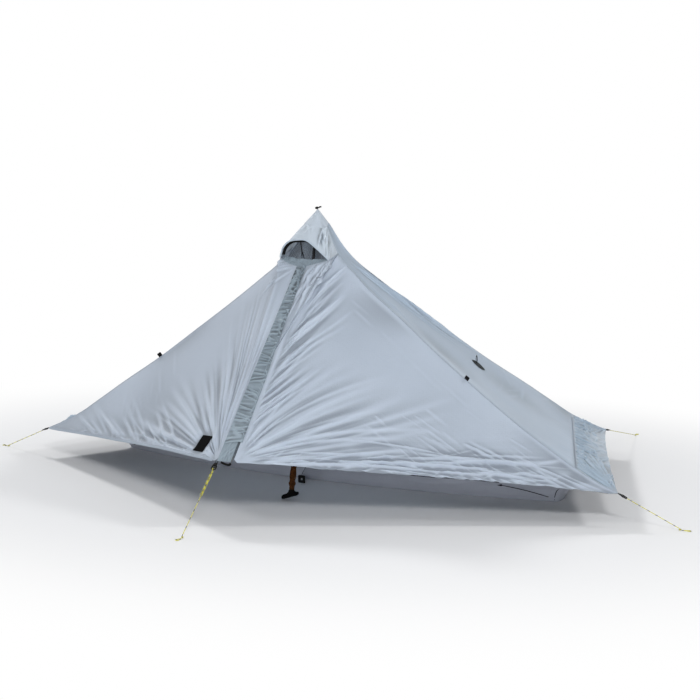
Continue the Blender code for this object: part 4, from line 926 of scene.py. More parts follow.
def make_left_flap():
    lip_run = [lip_point(crease_lip_share * (1 - u)) for u in steps(5)]
    points = join_path(lip_run, [left_vent_corner.lerp(left_seam_peak, u) for u in steps(3)])
    across = np.concatenate([np.linspace(0, 0.30, 130), np.linspace(0.30, 1, 171)[1:]])
    P, shares = fan_grid(front_point, points, left_ridge, left_stations, across, 200)
    P = eased(P, shares, 16)
    hem = (left_corner - front_point).normalized()
    theta, rho, a, b = polar(P, front_point, hem, -outward_left)
    theta, b = np.abs(theta), np.abs(b)
    top = float(theta[:, 0].mean())
    from_band = top - theta
    rows = fan_folds(3, 17, top - 0.34, top - 0.01, 0.10, (0.70, 1.15), 0.0058, 0.0100, 1.3)
    rows += fan_folds(5, 18, top - 0.42, top - 0.02, 0.34, (0.40, 0.75), 0.0048, 0.0075, 0.9)
    rows += fan_folds(7, 19, 0.26, top - 0.28, 0.07, (0.42, 0.85), 0.0078, 0.0165, 2.4)
    rows += fan_folds(9, 11, 0.02, 0.34, 0.06, (0.40, 0.95), 0.0080, 0.0115, 1.6)
    rows += fan_folds(11, 24, 0.12, top - 0.1, 0.16, (0.14, 0.40), 0.0050, 0.0080, 2.0)
    rows += line_folds(13, 20, (0.30, 0.020), (1.15, 0.02), (0.12, 0.50), (0.22, 0.55), 0.0078,
                       0.0110, 0.03)
    rows += line_folds(14, 36, (0.10, 0.020), (1.35, 0.02), (-0.7, 0.9), (0.05, 0.13), 0.0048,
                       0.0050, 0.04, 1.0)
    rows += line_folds(15, 14, (0.75, 0.30), (1.10, 0.12), (0.5, 0.95), (0.10, 0.26), 0.0060,
                       0.0024, 0.2)
    tip = (float(a[-1, 0]), float(b[-1, 0]))
    rows += line_folds(17, 22, (tip[0] - 0.005, tip[1] - 0.01), (tip[0] + 0.10, tip[1] + 0.03),
                       (-top - 0.25, -top + 0.55), (0.08, 0.26), 0.0042, 0.0120)
    broad = (noise(a * 2.1 + b * 1.4, b * 2.6 - a * 0.6, 41) - 0.5) * 0.014
    broad = broad * smooth(0.1, 0.5, rho)
    gathered = smooth(0.03, 0.12, rho) * (1 - smooth(0.25, 0.75, rho))
    broad = broad + (noise(theta * 26, rho * 1.5, 43) - 0.5) * 0.016 * gathered
    edge = smooth(0, 0.035, rho[-1:, :] - rho)
    seam = smooth(0.0, 0.012, from_band * rho)
    near_badge = smooth(0.045, 0.085, np.linalg.norm(P - np.array(badge_centre), axis=2))
    height = (creased(a, b, rows) + broad) * edge * seam * (0.10 + 0.90 * near_badge)
    P = displaced(P, height, outward_left)
    return add_grid("left_flap_cloth", P, cloth, x_axis=tuple(hem), fold=height), P
def make_door_flap():
    inward = (front_corner - right_seam_peak).normalized() * 0.0006
    leg = [gusset_foot.lerp(right_seam_peak, u) + inward for u in steps(8)]
    across = np.linspace(0, 1, 330)
    P, _ = fan_grid(zip_foot, leg, door_ridge, ridge_stations, across, 210)
    side = np.array(right_of_zip(0))
    offset = (P - np.array(zip_foot)) @ side
    push = zip_inset * (1 - np.clip(offset, 0, None) / 0.090)
    P = P + side * np.where(offset > 0.090, 0, push)[..., None]
    normal = (front_corner - zip_foot).cross(right_seam_peak - zip_foot).normalized()
    normal = normal if normal.y < 0 else -normal
    hem = (front_corner - zip_foot).normalized()
    theta, rho, a, b = polar(P, zip_foot, hem, normal)
    theta, b = np.abs(theta), np.abs(b)
    top = float(theta[:, 0].mean())
    zc, zs = math.cos(top), math.sin(top)
    # Folds out of the zip's foot, bent away from the zip the higher they are
    rows = fan_folds(21, 16, 0.42, top - 0.12, 0.08, (0.42, 0.80), 0.0080, 0.0098, 2.4, -0.32)
    rows += fan_folds(23, 14, 0.03, 0.55, 0.10, (0.45, 0.95), 0.0085, 0.0085, 1.9, 0.02)
    rows += fan_folds(25, 26, 0.05, top - 0.1, 0.12, (0.14, 0.36), 0.0050, 0.0050, 2.0, -0.1)
    # Folds that leave the zip along its length
    rows += line_folds(27, 26, (0.16 * zc, 0.16 * zs), (0.62 * zc, 0.62 * zs),
                       (top - 0.52, top - 0.30), (0.26, 0.52), 0.0072, 0.0088, 0.0, -0.25)
    rows += line_folds(29, 22, (0.50 * zc, 0.50 * zs), (0.92 * zc + 0.05, 0.92 * zs),
                       (top - 0.40, top - 0.20), (0.18, 0.40), 0.0060, 0.0058, 0.02, -0.15)
    # Long wavy folds above the hem
    rows += line_folds(31, 18, (0.16, 0.020), (0.95, 0.13), (-0.05, 0.10), (0.35, 0.75), 0.0080,
                       0.0125, 0.05, 0.16)
    rows += line_folds(33, 34, (0.25, 0.05), (1.20, 0.08), (-0.35, 0.38), (0.12, 0.34), 0.0062,
                       0.0090, 0.09, 0.5)
    rows += line_folds(34, 60, (0.15, 0.022), (1.35, 0.022), (-0.7, 0.9), (0.05, 0.13), 0.0048,
                       0.0062, 0.045, 1.0)
    # Small creases toward the corner and one long one above them
    rows += line_folds(35, 40, (0.62, 0.26), (1.25, 0.10), (-0.78, -0.50), (0.08, 0.28), 0.0056,
                       0.0056, 0.22)
    rows += line_folds(39, 16, (0.90, 0.22), (1.40, 0.03), (-0.60, -0.38), (0.15, 0.40), 0.0060,
                       0.0060, 0.05)
    rows += [(0.42, 0.155, 0.06, 0.62, 0.0050, 0.0100, 0.0, -0.28)]
    # Taut lines below the ridge
    low_ridge = (float(a[-1, 120]), float(b[-1, 120]))
    rows += line_folds(37, 8, (low_ridge[0] - 0.03, low_ridge[1] - 0.13), (0.95, 0.36),
                       (-0.78, -0.62), (0.12, 0.34), 0.0055, 0.0022, 0.03)
    ridge_gap = rho[-1:, :] - rho
    broad = (noise(a * 2.0 - b * 1.2, b * 2.3 + a * 0.5, 61) - 0.5) * 0.016
    broad = broad * smooth(0.1, 0.45, rho)
    clear = smooth(0.014, 0.034, offset)
    edge = smooth(0, 0.030, ridge_gap)
    broad = broad + (noise(a * 17, b * 34, 63) - 0.5) * 0.0065 * np.exp(-(b / 0.10)**2)
    height = (creased(a, b, rows) * 1.15 + broad) * clear * edge
    P = displaced(P, height, normal)
    return add_grid("door_cloth", P, cloth, x_axis=tuple(hem), fold=height)


def make_gusset():
    us, vs = np.linspace(0, 1, 60), np.linspace(0, 0.90, 110)

    def place(u, v):
        zip_edge = zip_top.lerp(gusset_foot, v)
        fold = right_vent_corner.lerp(gusset_foot, v)
        leg = right_seam_peak.lerp(gusset_foot, v)
        zip_edge = zip_edge + (fold - zip_edge).normalized() * zip_inset
        return zip_edge.lerp(fold, u * 2) if u < 0.5 else fold.lerp(leg, u * 2 - 1)

    P = grid_of(place, us, vs)
    U, V = np.meshgrid(us, vs)
    # Strips that run down the gusset, in metres across and along
    x, y = U * 0.17 * (1 - 0.75 * V), V * 0.45
    rows = line_folds(41, 10, (0.010, 0.0), (0.150, 0.0), (1.40, 1.72), (0.22, 0.44), 0.0056,
                      0.0105, 0.0)
    rows += line_folds(43, 9, (0.02, 0.02), (0.15, 0.10), (1.2, 1.9), (0.08, 0.2), 0.0036, 0.0030,
                       0.03)
    # Creases from the lip's end down to the zip
    rows += line_folds(45, 9, (0.030, 0.0), (0.150, 0.0), (1.78, 2.10), (0.14, 0.30), 0.0046,
                       0.0150)
    # Two troughs, which the fold attribute's painted shade turns into dark lines.
    rows += [(0.051, -0.02, 1.857, 0.34, 0.0048, -0.0240),
             (0.139, 0.00, 2.18, 0.24, 0.0045, -0.0220)]
    edge = smooth(0, 0.12, U) * smooth(0, 0.08, 1 - U) * smooth(0, 0.04, V)
    height = creased(x, y, rows) * edge
    P = displaced(P, height, (0, -1, 0.3))
    return add_grid("gusset_cloth", P, cloth, fold=height)


def make_zip_strip():
    us, vs = np.linspace(0, 1, 25), np.linspace(0, 1, 330)

    def place(u, v):
        crest = crest_point(v)
        inner = zip_foot.lerp(zip_top, v) + left_of_zip(v) * zip_inset
        return crest.lerp(inner, u)

    P = grid_of(place, us, vs)
    U, V = np.meshgrid(us, vs)
    x, y = U * 0.05, V * zip_length
    rows = fan_folds(61, 7, 0.9, 1.5, 0.006, (0.07, 0.16), 0.0026, 0.0062, 6.0)
    rows += line_folds(63, 5, (0.012, 0.0), (0.045, 0.0), (1.3, 1.9), (0.05, 0.10), 0.0026, 0.0050)
    edge = smooth(0, 0.06, U) * smooth(0, 0.15, 1 - U) * (1 - smooth(0.09, 0.13, V))
    height = np.maximum(creased(x, y, rows), -0.002) * edge
    P = displaced(P, height, (0, -1, 0.3))
    return add_grid("strip_cloth", P, band_cloth, fold=height)


def make_storm():
    """The storm flap: one crinkled strip from the crease over the zip."""
    count, wide = 560, 25
    start = 0.0012 / zip_length
    places = np.linspace(0, 4, wide)
    run_m = np.linspace(0, zip_length * 0.9, count)[:, None] * np.ones((1, wide))
    across_m = places[None, :] * 0.0135 * np.ones((count, 1))
    rows = line_folds(71, 46, (0.0, -0.004), (0.90, -0.004), (0.95, 2.15), (0.030, 0.080), 0.0040,
                      0.0150)
    rows += line_folds(73, 34, (0.0, 0.055), (0.90, 0.055), (-2.15, -0.95), (0.025, 0.06), 0.0040,
                       0.0095)
    rows += line_folds(75, 18, (0.0, 0.02), (0.90, 0.03), (-0.6, 0.7), (0.05, 0.14), 0.0042,
                       0.0075, 0.02)
    # Creases that gather to the lip at the top
    rows += line_folds(79, 12, (0.90, 0.004), (0.90, 0.052), (2.75, 3.55), (0.06, 0.20), 0.0038,
                       0.0130)
    lift = creased(run_m, across_m, rows)
    lift = lift + (noise(run_m * 16, across_m * 20, 77) - 0.4) * 0.0040
    out = []
    for j, v in enumerate(np.linspace(0, 1, count)):
        share = 0.095 + (1 - 0.095 - start) * v
        low = share - 0.028 * (1 - min(v * 8, 1))
        width = (crest_point(low) - zip_foot.lerp(zip_top, low)).dot(left_of_zip(low))
        key = ((width - 0.0004, 0.00155), (width * 0.62, 0.0053), (0.0, 0.0086),
               (-0.0065, 0.0081), (-0.013, 0.0044))
        row = []
        for i, t in enumerate(places):
            k = min(int(t), 3)
            (w0, h0), (w1, h1) = key[k], key[k + 1]
            u = t - k
            w, h = w0 + (w1 - w0) * u, h0 + (h1 - h0) * u
            here = share if t >= 2 else low + (share - low) * t / 2
            bed = min(t / 0.5, (4 - t) / 0.4, 1.0)
            rise = max(lift[j, i], -0.0022) * bed
            low_end = min(v / 0.035, 1.0)
            row.append(tuple(zip_place(here, w, 0.0016 + (h - 0.0016 + rise) * low_end
                                       + 0.0030 * (1 - low_end) * min(t / 2, 1))))
        out.append(row)
    return add_grid("storm_cloth", np.array(out), band_cloth, x_axis=tuple(zip_axis), fold=lift)


def wall_grid(place, start, end, sag, outward, across, down):
    """A wall's smooth grid, pushed in by its sag, and each point's share across and down."""
    us, vs = np.linspace(0, 1, across), np.linspace(start, end, down)
    P = grid_of(place, us, vs)
    U, V = np.meshgrid(us, (vs - start) / (end - start))
    return P - outward_normals(P, outward) * (sag * arch(U) * arch(V))[..., None], U, V


def make_end_wall(name, front, back, outward, seed):
    P, U, V = wall_grid(lambda u, v: front(v).lerp(back(v), u), cap_run, tail_run, 0.015,
                        outward, 110, 170)
    # Metres across the wall from its middle line, and down from the peak
    x, y = (U - 0.5) * 1.30 * (0.04 + 0.96 * V), V * 1.62
    lean = math.atan2(1.62, 0.625)
    # Long folds inside the rear ridge, on the upper half
    rows = [(0.040, 0.16, lean - 0.06, 0.95, 0.0110, 0.0240, 0.8, 0.02),
            (0.016, 0.14, lean + 0.00, 0.70, 0.0080, 0.0140, 0.8, 0.02),
            (0.082, 0.34, lean - 0.05, 0.80, 0.0090, 0.0150, 0.8, 0.00),
            # These two are troughs, which the fold attribute's painted shade turns into dark lines.
            (0.054, 0.18, 1.243, 0.70, 0.0080, -0.0420, 0.4, 0.00),
            (0.094, 0.26, 1.225, 0.60, 0.0065, -0.0340, 0.4, 0.00)]
    rows += line_folds(seed, 9, (0.0, 0.10), (0.07, 0.40), (lean - 0.05, lean + 0.12),
                       (0.25, 0.65), 0.0062, 0.0062, 0.02)
    rows += line_folds(seed + 1, 10, (-0.015, 0.10), (-0.06, 0.45),
                       (math.pi - lean - 0.10, math.pi - lean + 0.06), (0.16, 0.45), 0.0055,
                       0.0038, 0.02)
    rows += line_folds(seed + 2, 16, (-0.50, 1.60), (0.55, 1.60), (-1.95, -1.20), (0.08, 0.26),
                       0.0070, 0.0048)
    rows += line_folds(seed + 3, 10, (-0.35, 1.0), (0.35, 1.3), (-0.5, 0.5), (0.15, 0.4), 0.008,
                       0.0022, 0.2)
    broad = (noise(U * 3.0, V * 4.0, seed + 5) - 0.5) * 0.012
    edge = (smooth(0, 0.04, U) * smooth(0, 0.03, 1 - U) * smooth(0, 0.04, V)
            * smooth(0, 0.02, 1 - V))
    height = (creased(x, y, rows) + broad) * edge
    P = displaced(P, height, outward)
    return add_grid(name, P, end_cloth, x_axis=(0, 1, 0), fold=height), P


def make_skirt(name, front, back, inward, outward, seed):
    """The tail below an end wall: gathered, shiny and full of creases."""
    us, vs = np.linspace(0, 1, 260), np.linspace(tail_run, 1, 60)

    def place(u, v):
        rise = arch(u) * (v - tail_run) / (1 - tail_run)
        return front(v).lerp(back(v), u) + Vector((inward * hem_arch_in * rise, 0,
                                                   hem_arch * rise))

    P = grid_of(place, us, vs)
    U, V = np.meshgrid(us, (vs - tail_run) / (1 - tail_run))
    x, y = U * 1.28, V * 0.20
    # A fan out of each staked corner, and creases that cross between them
    rows = [(0.01 + row[0], 0.20 - row[1], -row[2], *row[3:])
            for row in fan_folds(seed, 15, 0.10, 1.45, 0.02, (0.25, 0.65), 0.0056, 0.0215, 2.0)]
    rows += [(1.27 - row[0], 0.20 - row[1], math.pi + row[2], *row[3:])
             for row in fan_folds(seed + 1, 13, 0.10, 1.45, 0.02, (0.20, 0.50), 0.0056, 0.0205,
                                  2.0)]
    rows += line_folds(seed + 2, 26, (0.03, 0.0), (1.25, 0.0), (0.9, 2.3), (0.08, 0.20), 0.0058,
                       0.0175)
    rows += line_folds(seed + 3, 26, (0.05, 0.16), (1.25, 0.10), (-0.9, 0.9), (0.08, 0.20),
                       0.0058, 0.0110, 0.08)
    edge = smooth(0, 0.025, U) * smooth(0, 0.025, 1 - U) * smooth(0, 0.08, V)
    crumple = (noise(x * 24, y * 30, seed + 9) - 0.5) * 0.0040
    height = (creased(x, y, rows) + crumple) * edge
    P = displaced(P, height, outward)
    return add_grid(name, P, tail_cloth, x_axis=(0, 1, 0), fold=height)


def make_back_wall(name, side, seed):
    outward = (0, 1, 0.5)

    def place(u, v):
        rise = arch(u) * v**4
        return side(v).lerp(back_ridge(v), u) + Vector((0, -hem_arch_in * rise, hem_arch * rise))

    P, U, V = wall_grid(place, cap_run, 1, 0.030, outward, 110, 190)
    x, y = (U - 0.5) * 0.98 * (0.04 + 0.96 * V), V * 1.75
    lean = math.atan2(1.75, 0.48)
    rows = line_folds(seed, 9, (0.010, 0.15), (0.10, 0.60), (lean - 0.05, lean + 0.08),
                      (0.3, 0.8), 0.0065, 0.0058, 0.02)
    rows += line_folds(seed + 1, 9, (-0.010, 0.15), (-0.10, 0.60),
                       (math.pi - lean - 0.08, math.pi - lean + 0.05), (0.3, 0.8), 0.0065,
                       0.0058, 0.02)
    for start, turn, more in ((-0.46, -1, 2), (0.46, 1, 3)):
        rows += [(start + turn * -row[0], 1.72 - row[1],
                  (math.pi + row[2]) if turn > 0 else -row[2], *row[3:])
                 for row in fan_folds(seed + more, 12, 0.15, 1.35, 0.05, (0.25, 0.65), 0.0070,
                                      0.0085, 2.2)]
    rows += line_folds(seed + 4, 16, (-0.40, 1.72), (0.40, 1.72), (-1.9, -1.2), (0.10, 0.34),
                       0.0070, 0.0060)
    broad = (noise(U * 2.5, V * 4.0, seed + 5) - 0.5) * 0.014
    edge = smooth(0, 0.04, U) * smooth(0, 0.04, 1 - U) * smooth(0, 0.03, V)
    height = (creased(x, y, rows) + broad) * edge
    P = displaced(P, height, outward)
    return add_grid(name, P, cloth, fold=height)


left_flap, left_grid = make_left_flap()
door = make_door_flap()
gusset = make_gusset()
strip = make_zip_strip()
storm = make_storm()
end_right, end_right_grid = make_end_wall("end_right_cloth", door_ridge, rear_ridge,
                                          (1, 0, 0.4), 101)
end_left, end_left_grid = make_end_wall("end_left_cloth", left_ridge, rear_left_ridge,
                                        (-1, 0, 0.4), 131)
tail_right = make_skirt("tail_right_cloth", door_ridge, rear_ridge, -1, (1, 0, 0.3), 151)
tail_left = make_skirt("tail_left_cloth", left_ridge, rear_left_ridge, 1, (-1, 0, 0.3), 171)
back_right = make_back_wall("back_right_cloth", rear_ridge, 191)
back_left = make_back_wall("back_left_cloth", rear_left_ridge, 211)


# ---------------------------------------------------------------- hood, lip and cap

hood_seam = 0.12


def hood_edge(share):
    """The hood's lower edge: a seam on each side, and the rim between them."""
    if share < hood_seam:
        return left_seam_peak.lerp(left_vent_corner, share / hood_seam)
    if share > 1 - hood_seam:
        return right_vent_corner.lerp(right_seam_peak, (share - 1 + hood_seam) / hood_seam)
    return rim_point((share - hood_seam) / (1 - 2 * hood_seam))


def cap_edge(share):
    """The front edge of the peak's cap, from the left ridge to the door's."""
    if share <= 0:
        return left_ridge(cap_run)
    if share >= 1:
        return door_ridge(cap_run)
    level_z = left_ridge(cap_run).lerp(door_ridge(cap_run), share).z
    edge = hood_edge(share)
    return peak.lerp(edge, (peak.z - level_z) / (peak.z - edge.z))


def make_hood():
    us = np.concatenate([np.linspace(0, 0.12, 12), np.linspace(0.12, 0.88, 120)[1:],
                         np.linspace(0.88, 1, 12)[1:]])
    vs = np.linspace(0, 1, 60)
    left_runs = np.interp(vs, steps(5), (cap_run, hood_run, right_seam_run,
                                         (right_seam_run + left_seam_run) / 2, left_seam_run))
    right_runs = np.interp(vs, steps(5), (cap_run, (cap_run + hood_run) / 2, hood_run,
                                          (hood_run + right_seam_run) / 2, right_seam_run))
    rows = []
    for v, left_run, right_run in zip(vs, left_runs, right_runs):
        row = [cap_edge(float(s)).lerp(hood_edge(float(s)), float(v)) for s in us]
        row[0], row[-1] = left_ridge(float(left_run)), door_ridge(float(right_run))
        rows.append([tuple(p) for p in row])
    P = np.array(rows)
    U, V = np.meshgrid(us, vs)
    # Pleats that run down from the cap, most of them on the right
    x, y = (U - 0.5) * (0.06 + 0.34 * V), V * 0.14
    rows = line_folds(51, 6, (0.012, -0.02), (0.040, -0.01), (0.80, 1.20), (0.13, 0.24), 0.0038,
                      0.0125)
    rows += line_folds(53, 8, (-0.026, -0.01), (0.010, -0.01), (1.35, 2.1), (0.07, 0.16), 0.0040,
                       0.0022)
    rows += line_folds(55, 10, (0.03, 0.03), (0.13, 0.08), (0.8, 1.25), (0.06, 0.14), 0.0036,
                       0.0090, 0.02)
    edge = (smooth(0, 0.05, U) * smooth(0, 0.05, 1 - U) * smooth(0, 0.06, V)
            * smooth(0, 0.05, 1 - V))
    height = creased(x, y, rows) * edge
    P = displaced(P, height, (0, -1, 0.5))
    return add_grid("hood_cloth", P, hood_cloth, fold=height)


hood = make_hood()
# The bound edge round the hood's rim, a rolled light tape
binding = tube_mesh("rim_binding", [rim_point(0.004 + 0.992 * u) + Vector((0, -0.0014, 0))
                                    for u in steps(70)], 0.0034, binding_cloth, 10)


def make_rim_shade_band():
    """A black strip just inside the left part of the hood's rim, widest at the left: painted shade
    of the hood's underside.
    """
    rows = []
    for k in range(60):
        share = 0.015 + 0.60 * k / 59
        here = rim_point(share)
        middle = at(0, -rim_forward, rim_base + 0.01)
        inward = (middle - here).normalized()
        wide = 0.013 * (1 - 0.55 * k / 59)
        rows.append([tuple(here + inward * (0.003 + wide * t) + Vector((0, 0.004 + 0.004 * t, 0)))
                     for t in (0, 0.25, 0.5, 0.75, 1)])
    made = add_grid("rim_inner_shade", np.array(rows), webbing_cloth)
    thicken(made, 0.0010)
    on_tent(made)


make_rim_shade_band()


def make_lip():
    """The gathered shelf of band cloth under the vent."""
    us, vs = np.linspace(0.04, 0.96, 90), np.linspace(0, 1, 14)

    def place(u, v):
        rise = Vector((0, lip_depth * v, lip_rise * v * (0.4 + 0.6 * arch((u - 0.04) / 0.92))))
        return lip_point(u) - zip_axis * 0.0003 + rise

    P = grid_of(place, us, vs)
    U, V = np.meshgrid(us, vs)
    P = displaced(P, creases(U * 20, V * 1.5, 33) * 0.0050 * smooth(0, 0.20, V), (0, -0.4, 1))
    return add_grid("lip_cloth", P, band_cloth)


lip = make_lip()


def make_cap():
    """The reinforced peak: a doubled cone."""
    ring = [cap_edge(float(s)) for s in np.linspace(0, 1, 33)]
    for a, b in ((door_ridge, rear_ridge), (rear_ridge, back_ridge),
                 (back_ridge, rear_left_ridge), (rear_left_ridge, left_ridge)):
        start, end = a(cap_run), b(cap_run)
        ring += [start.lerp(end, u) for u in (0.25, 0.5, 0.75, 1.0)]
    ring.pop()
    vs = np.array([0.03, 0.15, 0.30, 0.5, 0.7, 0.86, 0.97, 1.0])
    P = np.array([[tuple(peak.lerp(p, float(v)) + (p - at(0, 0, p.z)).normalized()
                         * 0.0010 * (1 if v < 1 else 0.2)) for p in ring] for v in vs])
    wobble = np.sin(np.arange(len(ring)) * 1.9) * 0.0007
    P += wobble[None, :, None] * vs[:, None, None] * np.array([1, 1, 0])
    return add_grid("cap_cloth", P, hood_cloth,
                    plane_uv(np.linspace(0, 0.3, len(ring)), vs * 0.09), closed=True)


cap = make_cap()
# A tail of black cord that curls out of the cap
peak_cord = tube_mesh("peak_cord", smooth_path([at(*p) for p in (
    (-0.001, 0, 1.2318), (-0.011, -0.001, 1.2345), (-0.006, 0, 1.2385), (0.003, 0.001, 1.2368),
    (0.009, 0, 1.2402), (0.016, -0.001, 1.2412))], 0.0015), 0.0032, webbing_cloth, 10)

# ---------------------------------------------------------------- floor and netting

floor_sides = {1: (1.065, 0.122, 1.085, 0.250), -1: (1.165, 0.190, 1.185, 0.310)}
floor_wall, floor_lean = 0.082, 0.034
front_count, knee_count, side_count, back_count = 45, 14, 28, 22


def floor_front(side, share):
    half, bow = floor_sides[side][:2]
    return Vector((half * share, 0.052 + bow * share**2))


def turn_corner(a, b, c, count):
    return [a * (1 - u)**2 + b * (2 * u * (1 - u)) + c * u**2 for u in steps(count)]


def floor_half(side):
    half, bow, side_half, side_back = floor_sides[side]
    front = [floor_front(side, u) for u in steps(front_count)]
    side_start = Vector((side_half, side_back))
    knee = Vector((side_half + 0.2 * (side_half - half), 0.052 + bow))
    side_end = Vector((0.740, 1.010))
    middle = Vector((0, 1.190))
    return join_path(front, turn_corner(front[-1], knee, side_start, knee_count),
                     [side_start.lerp(side_end, u) for u in steps(side_count)],
                     [side_end.lerp(middle, u) for u in steps(back_count)])


def floor_ring(offset, height):
    ring = floor_half(1) + [Vector((-p.x, p.y)) for p in reversed(floor_half(-1)[1:-1])]
    out = []
    for i, here in enumerate(ring):
        tangent = (ring[(i + 1) % len(ring)] - ring[i - 1]).normalized()
        out.append(at(here.x + tangent.y * offset, here.y - tangent.x * offset, height))
    return out


def make_floor():
    """The bathtub: a flat bottom, soft corners and walls that slump a little."""
    levels = [(-0.010, 0.0004), (-0.004, 0.0012), (-0.0008, 0.0042), (0.0, 0.010)]
    levels += [(floor_lean * u, floor_wall * u) for u in np.linspace(0.2, 1, 12)]
    rings = [floor_ring(float(o), float(h)) for o, h in levels]
    P = np.array([[tuple(p) for p in ring] for ring in rings])
    count = P.shape[1]
    run = np.concatenate([[0], np.cumsum(np.linalg.norm(np.diff(P[-1], axis=0), axis=1))])
    V = np.linspace(0, 1, len(levels))[:, None] * np.ones((1, count))
    S = np.ones((len(levels), 1)) * run[None, :]
    total = run[-1] + 0.02
    blend = smooth(0, 0.3, S) * smooth(0, 0.3, total - S)
    sway = (noise(S * 3.1, V * 1.2, 301) - 0.5) * 0.014 * blend
    wrinkle = creases(S * 9 + V * 2.5, V * 1.5, 311) * 0.0052 * blend
    slope = creases(S * 3.2 - V * 2.0, V * 1.0, 331, 2) * 0.0060 * blend
    out = smooth(0.2, 0.75, V) * (1 - 0.35 * smooth(0.9, 1.0, V))
    slump = (sway + wrinkle + slope) * out
    P = displaced(P, slump)
    P[..., 2] = np.maximum(P[..., 2], 0.0004)
    P[-1, :, 2] -= 0.0035 * (noise(run * 4.0, run * 0, 341)) * blend[-1]
    rows, cols = P.shape[:2]
    points = [tuple(p) for p in P.reshape(-1, 3)]
    uv = np.stack([S, V * 0.09], axis=-1).reshape(-1, 2).tolist()
    faces = grid_faces(rows, cols, closed=True)
    bottom = list(range(cols))
    centre_y = peak_y + 0.6
    inner = [bottom]
    for share in (0.75, 0.5, 0.25):
        ring = []
        for i in range(cols):
            x, y, _ = points[i]
            ring.append(len(points))
            points.append((x * share, centre_y + (y - centre_y) * share, 0.0006))
            uv.append((x * share, (y - centre_y) * share))
        inner.append(ring)
    for far, near in zip(inner, inner[1:]):
        for i in range(cols):
            k = (i + 1) % cols
            faces.append((near[i], near[k], far[k], far[i]))
    points.append((0, centre_y, 0.0006))
    uv.append((0, 0))
    for i in range(cols):
        faces.append((len(points) - 1, inner[-1][(i + 1) % cols], inner[-1][i]))
    return add_mesh("floor_cloth", points, faces, floor_cloth, uv), P


tub, tub_grid = make_floor()
rim_ring = floor_ring(floor_lean, floor_wall)


def floor_rim(side):
    return rim_ring if side > 0 else rim_ring[:1] + rim_ring[:0:-1]


def on_rim(x):
    front = floor_rim(1 if x >= 0 else -1)[:front_count]
    for a, b in zip(front, front[1:]):
        if abs(x) <= abs(b.x):
            return a.lerp(b, (x - a.x) / (b.x - a.x))
    return front[-1]


def net_low(x):
    raised = up * 0.0008
    start = on_rim(math.copysign(corner_half, x)) + raised
    if abs(x) <= abs(start.x):
        return on_rim(x) + raised
    end = (front_corner if x > 0 else left_corner) - up * (4 * 0.0024)
    return start.lerp(end, (abs(x) - abs(start.x)) / (abs(end.x) - abs(start.x)))


def net_high(x):
    run = max(abs(x) / corner_half, 0.045)
    near = door_ridge if x > 0 else left_ridge
    fall = near(run) - near(run - 0.01)
    steep = fall.length / Vector((fall.x, fall.y)).length
    p = near(run)
    return Vector((x, p.y, p.z - 0.0036 * steep))


net_near, net_end = 0.022, 0.930
low0, high0 = net_low(net_near), net_high(net_near)
hinge_top = low0.lerp(high0, (0.950 - low0.z) / (high0.z - low0.z))
hinge_end = net_low(net_end)


def hinge_line(x):
    return hinge_top.lerp(hinge_end, (x - hinge_top.x) / (hinge_end.x - hinge_top.x))


hinge_room = up * 0.0013


def net_grid(name, low, high, xs, rows, seed, wave=0.0):
    vs = np.linspace(0, 1, rows)
    P = grid_of(lambda u, v: low(u).lerp(high(u), v), xs, vs)
    U, V = np.meshgrid(np.linspace(0, 1, len(xs)), vs)
    soft = (noise(U * 9, V * 3, seed) - 0.5) * 2 * wave
    edge = (smooth(0, 0.1, V) * smooth(0, 0.1, 1 - V) * smooth(0, 0.04, U)
            * smooth(0, 0.04, 1 - U))
    return add_grid(name, displaced(P, soft * edge), netting)


runs = np.linspace(0.045, 0.965, 40)
left_xs = [float(-corner_half * r) for r in runs[::-1]] + [-0.044, -net_near, 0.0,
                                                           net_near - 0.001]
net_left = net_grid("net_left_mesh", net_low, net_high, left_xs, 14, 401, 0.004)
right_xs = [net_near, 0.044] + [float(corner_half * r) for r in runs]
net_right = net_grid("net_right_mesh",
                     lambda x: hinge_line(x) + hinge_room if x < net_end else net_low(x), net_high,
                     right_xs, 8, 411)
door_xs = [float(x) for x in np.linspace(net_near, 0.880, 34)]
net_door = net_grid("net_door_mesh", net_low, lambda x: hinge_line(x) - hinge_room, door_xs, 12,
                    421)


def make_net_skirt():
    """The netting between the floor's rim and the hems, all round behind."""
    def line(w):
        out = []
        for side in (1, -1):
            ring = [p + up * 0.0008 for p in floor_rim(side)]
            start = front_count - 1
            turn = start + knee_count + side_count - 2
            corner, rear = front_corner.copy(), rear_corner.copy()
            corner.x, rear.x = side * corner.x, side * rear.x
            walls = ((ring[start:turn + 1], corner, rear, -side * hem_arch_in, 0),
                     (ring[turn:turn + back_count], rear, rear_point, 0, -hem_arch_in))
            pieces = []
            for low, a, b, inward_x, inward_y in walls:
                piece = []
                for p, v in zip(low, steps(len(low))):
                    hem = a.lerp(b, v) + Vector((inward_x * arch(v), inward_y * arch(v),
                                                 hem_arch * arch(v) - 0.0036))
                    piece.append(p.lerp(hem, w))
                pieces.append(piece)
            half = join_path(*pieces)
            out += half if side > 0 else half[-2::-1]
        return out

    P = np.array([[tuple(p) for p in line(w)] for w in np.linspace(0, 1, 7)])
    V = np.linspace(0, 1, 7)[:, None] * np.ones((1, P.shape[1]))
    S = np.arange(P.shape[1])[None, :] * np.ones((7, 1))
    P = displaced(P, (noise(S * 0.35, V * 2, 431) - 0.5) * 0.006 * 4 * V * (1 - V))
    return add_grid("net_skirt_mesh", P, netting)


net_skirt = make_net_skirt()

# ---------------------------------------------------------------- bodies

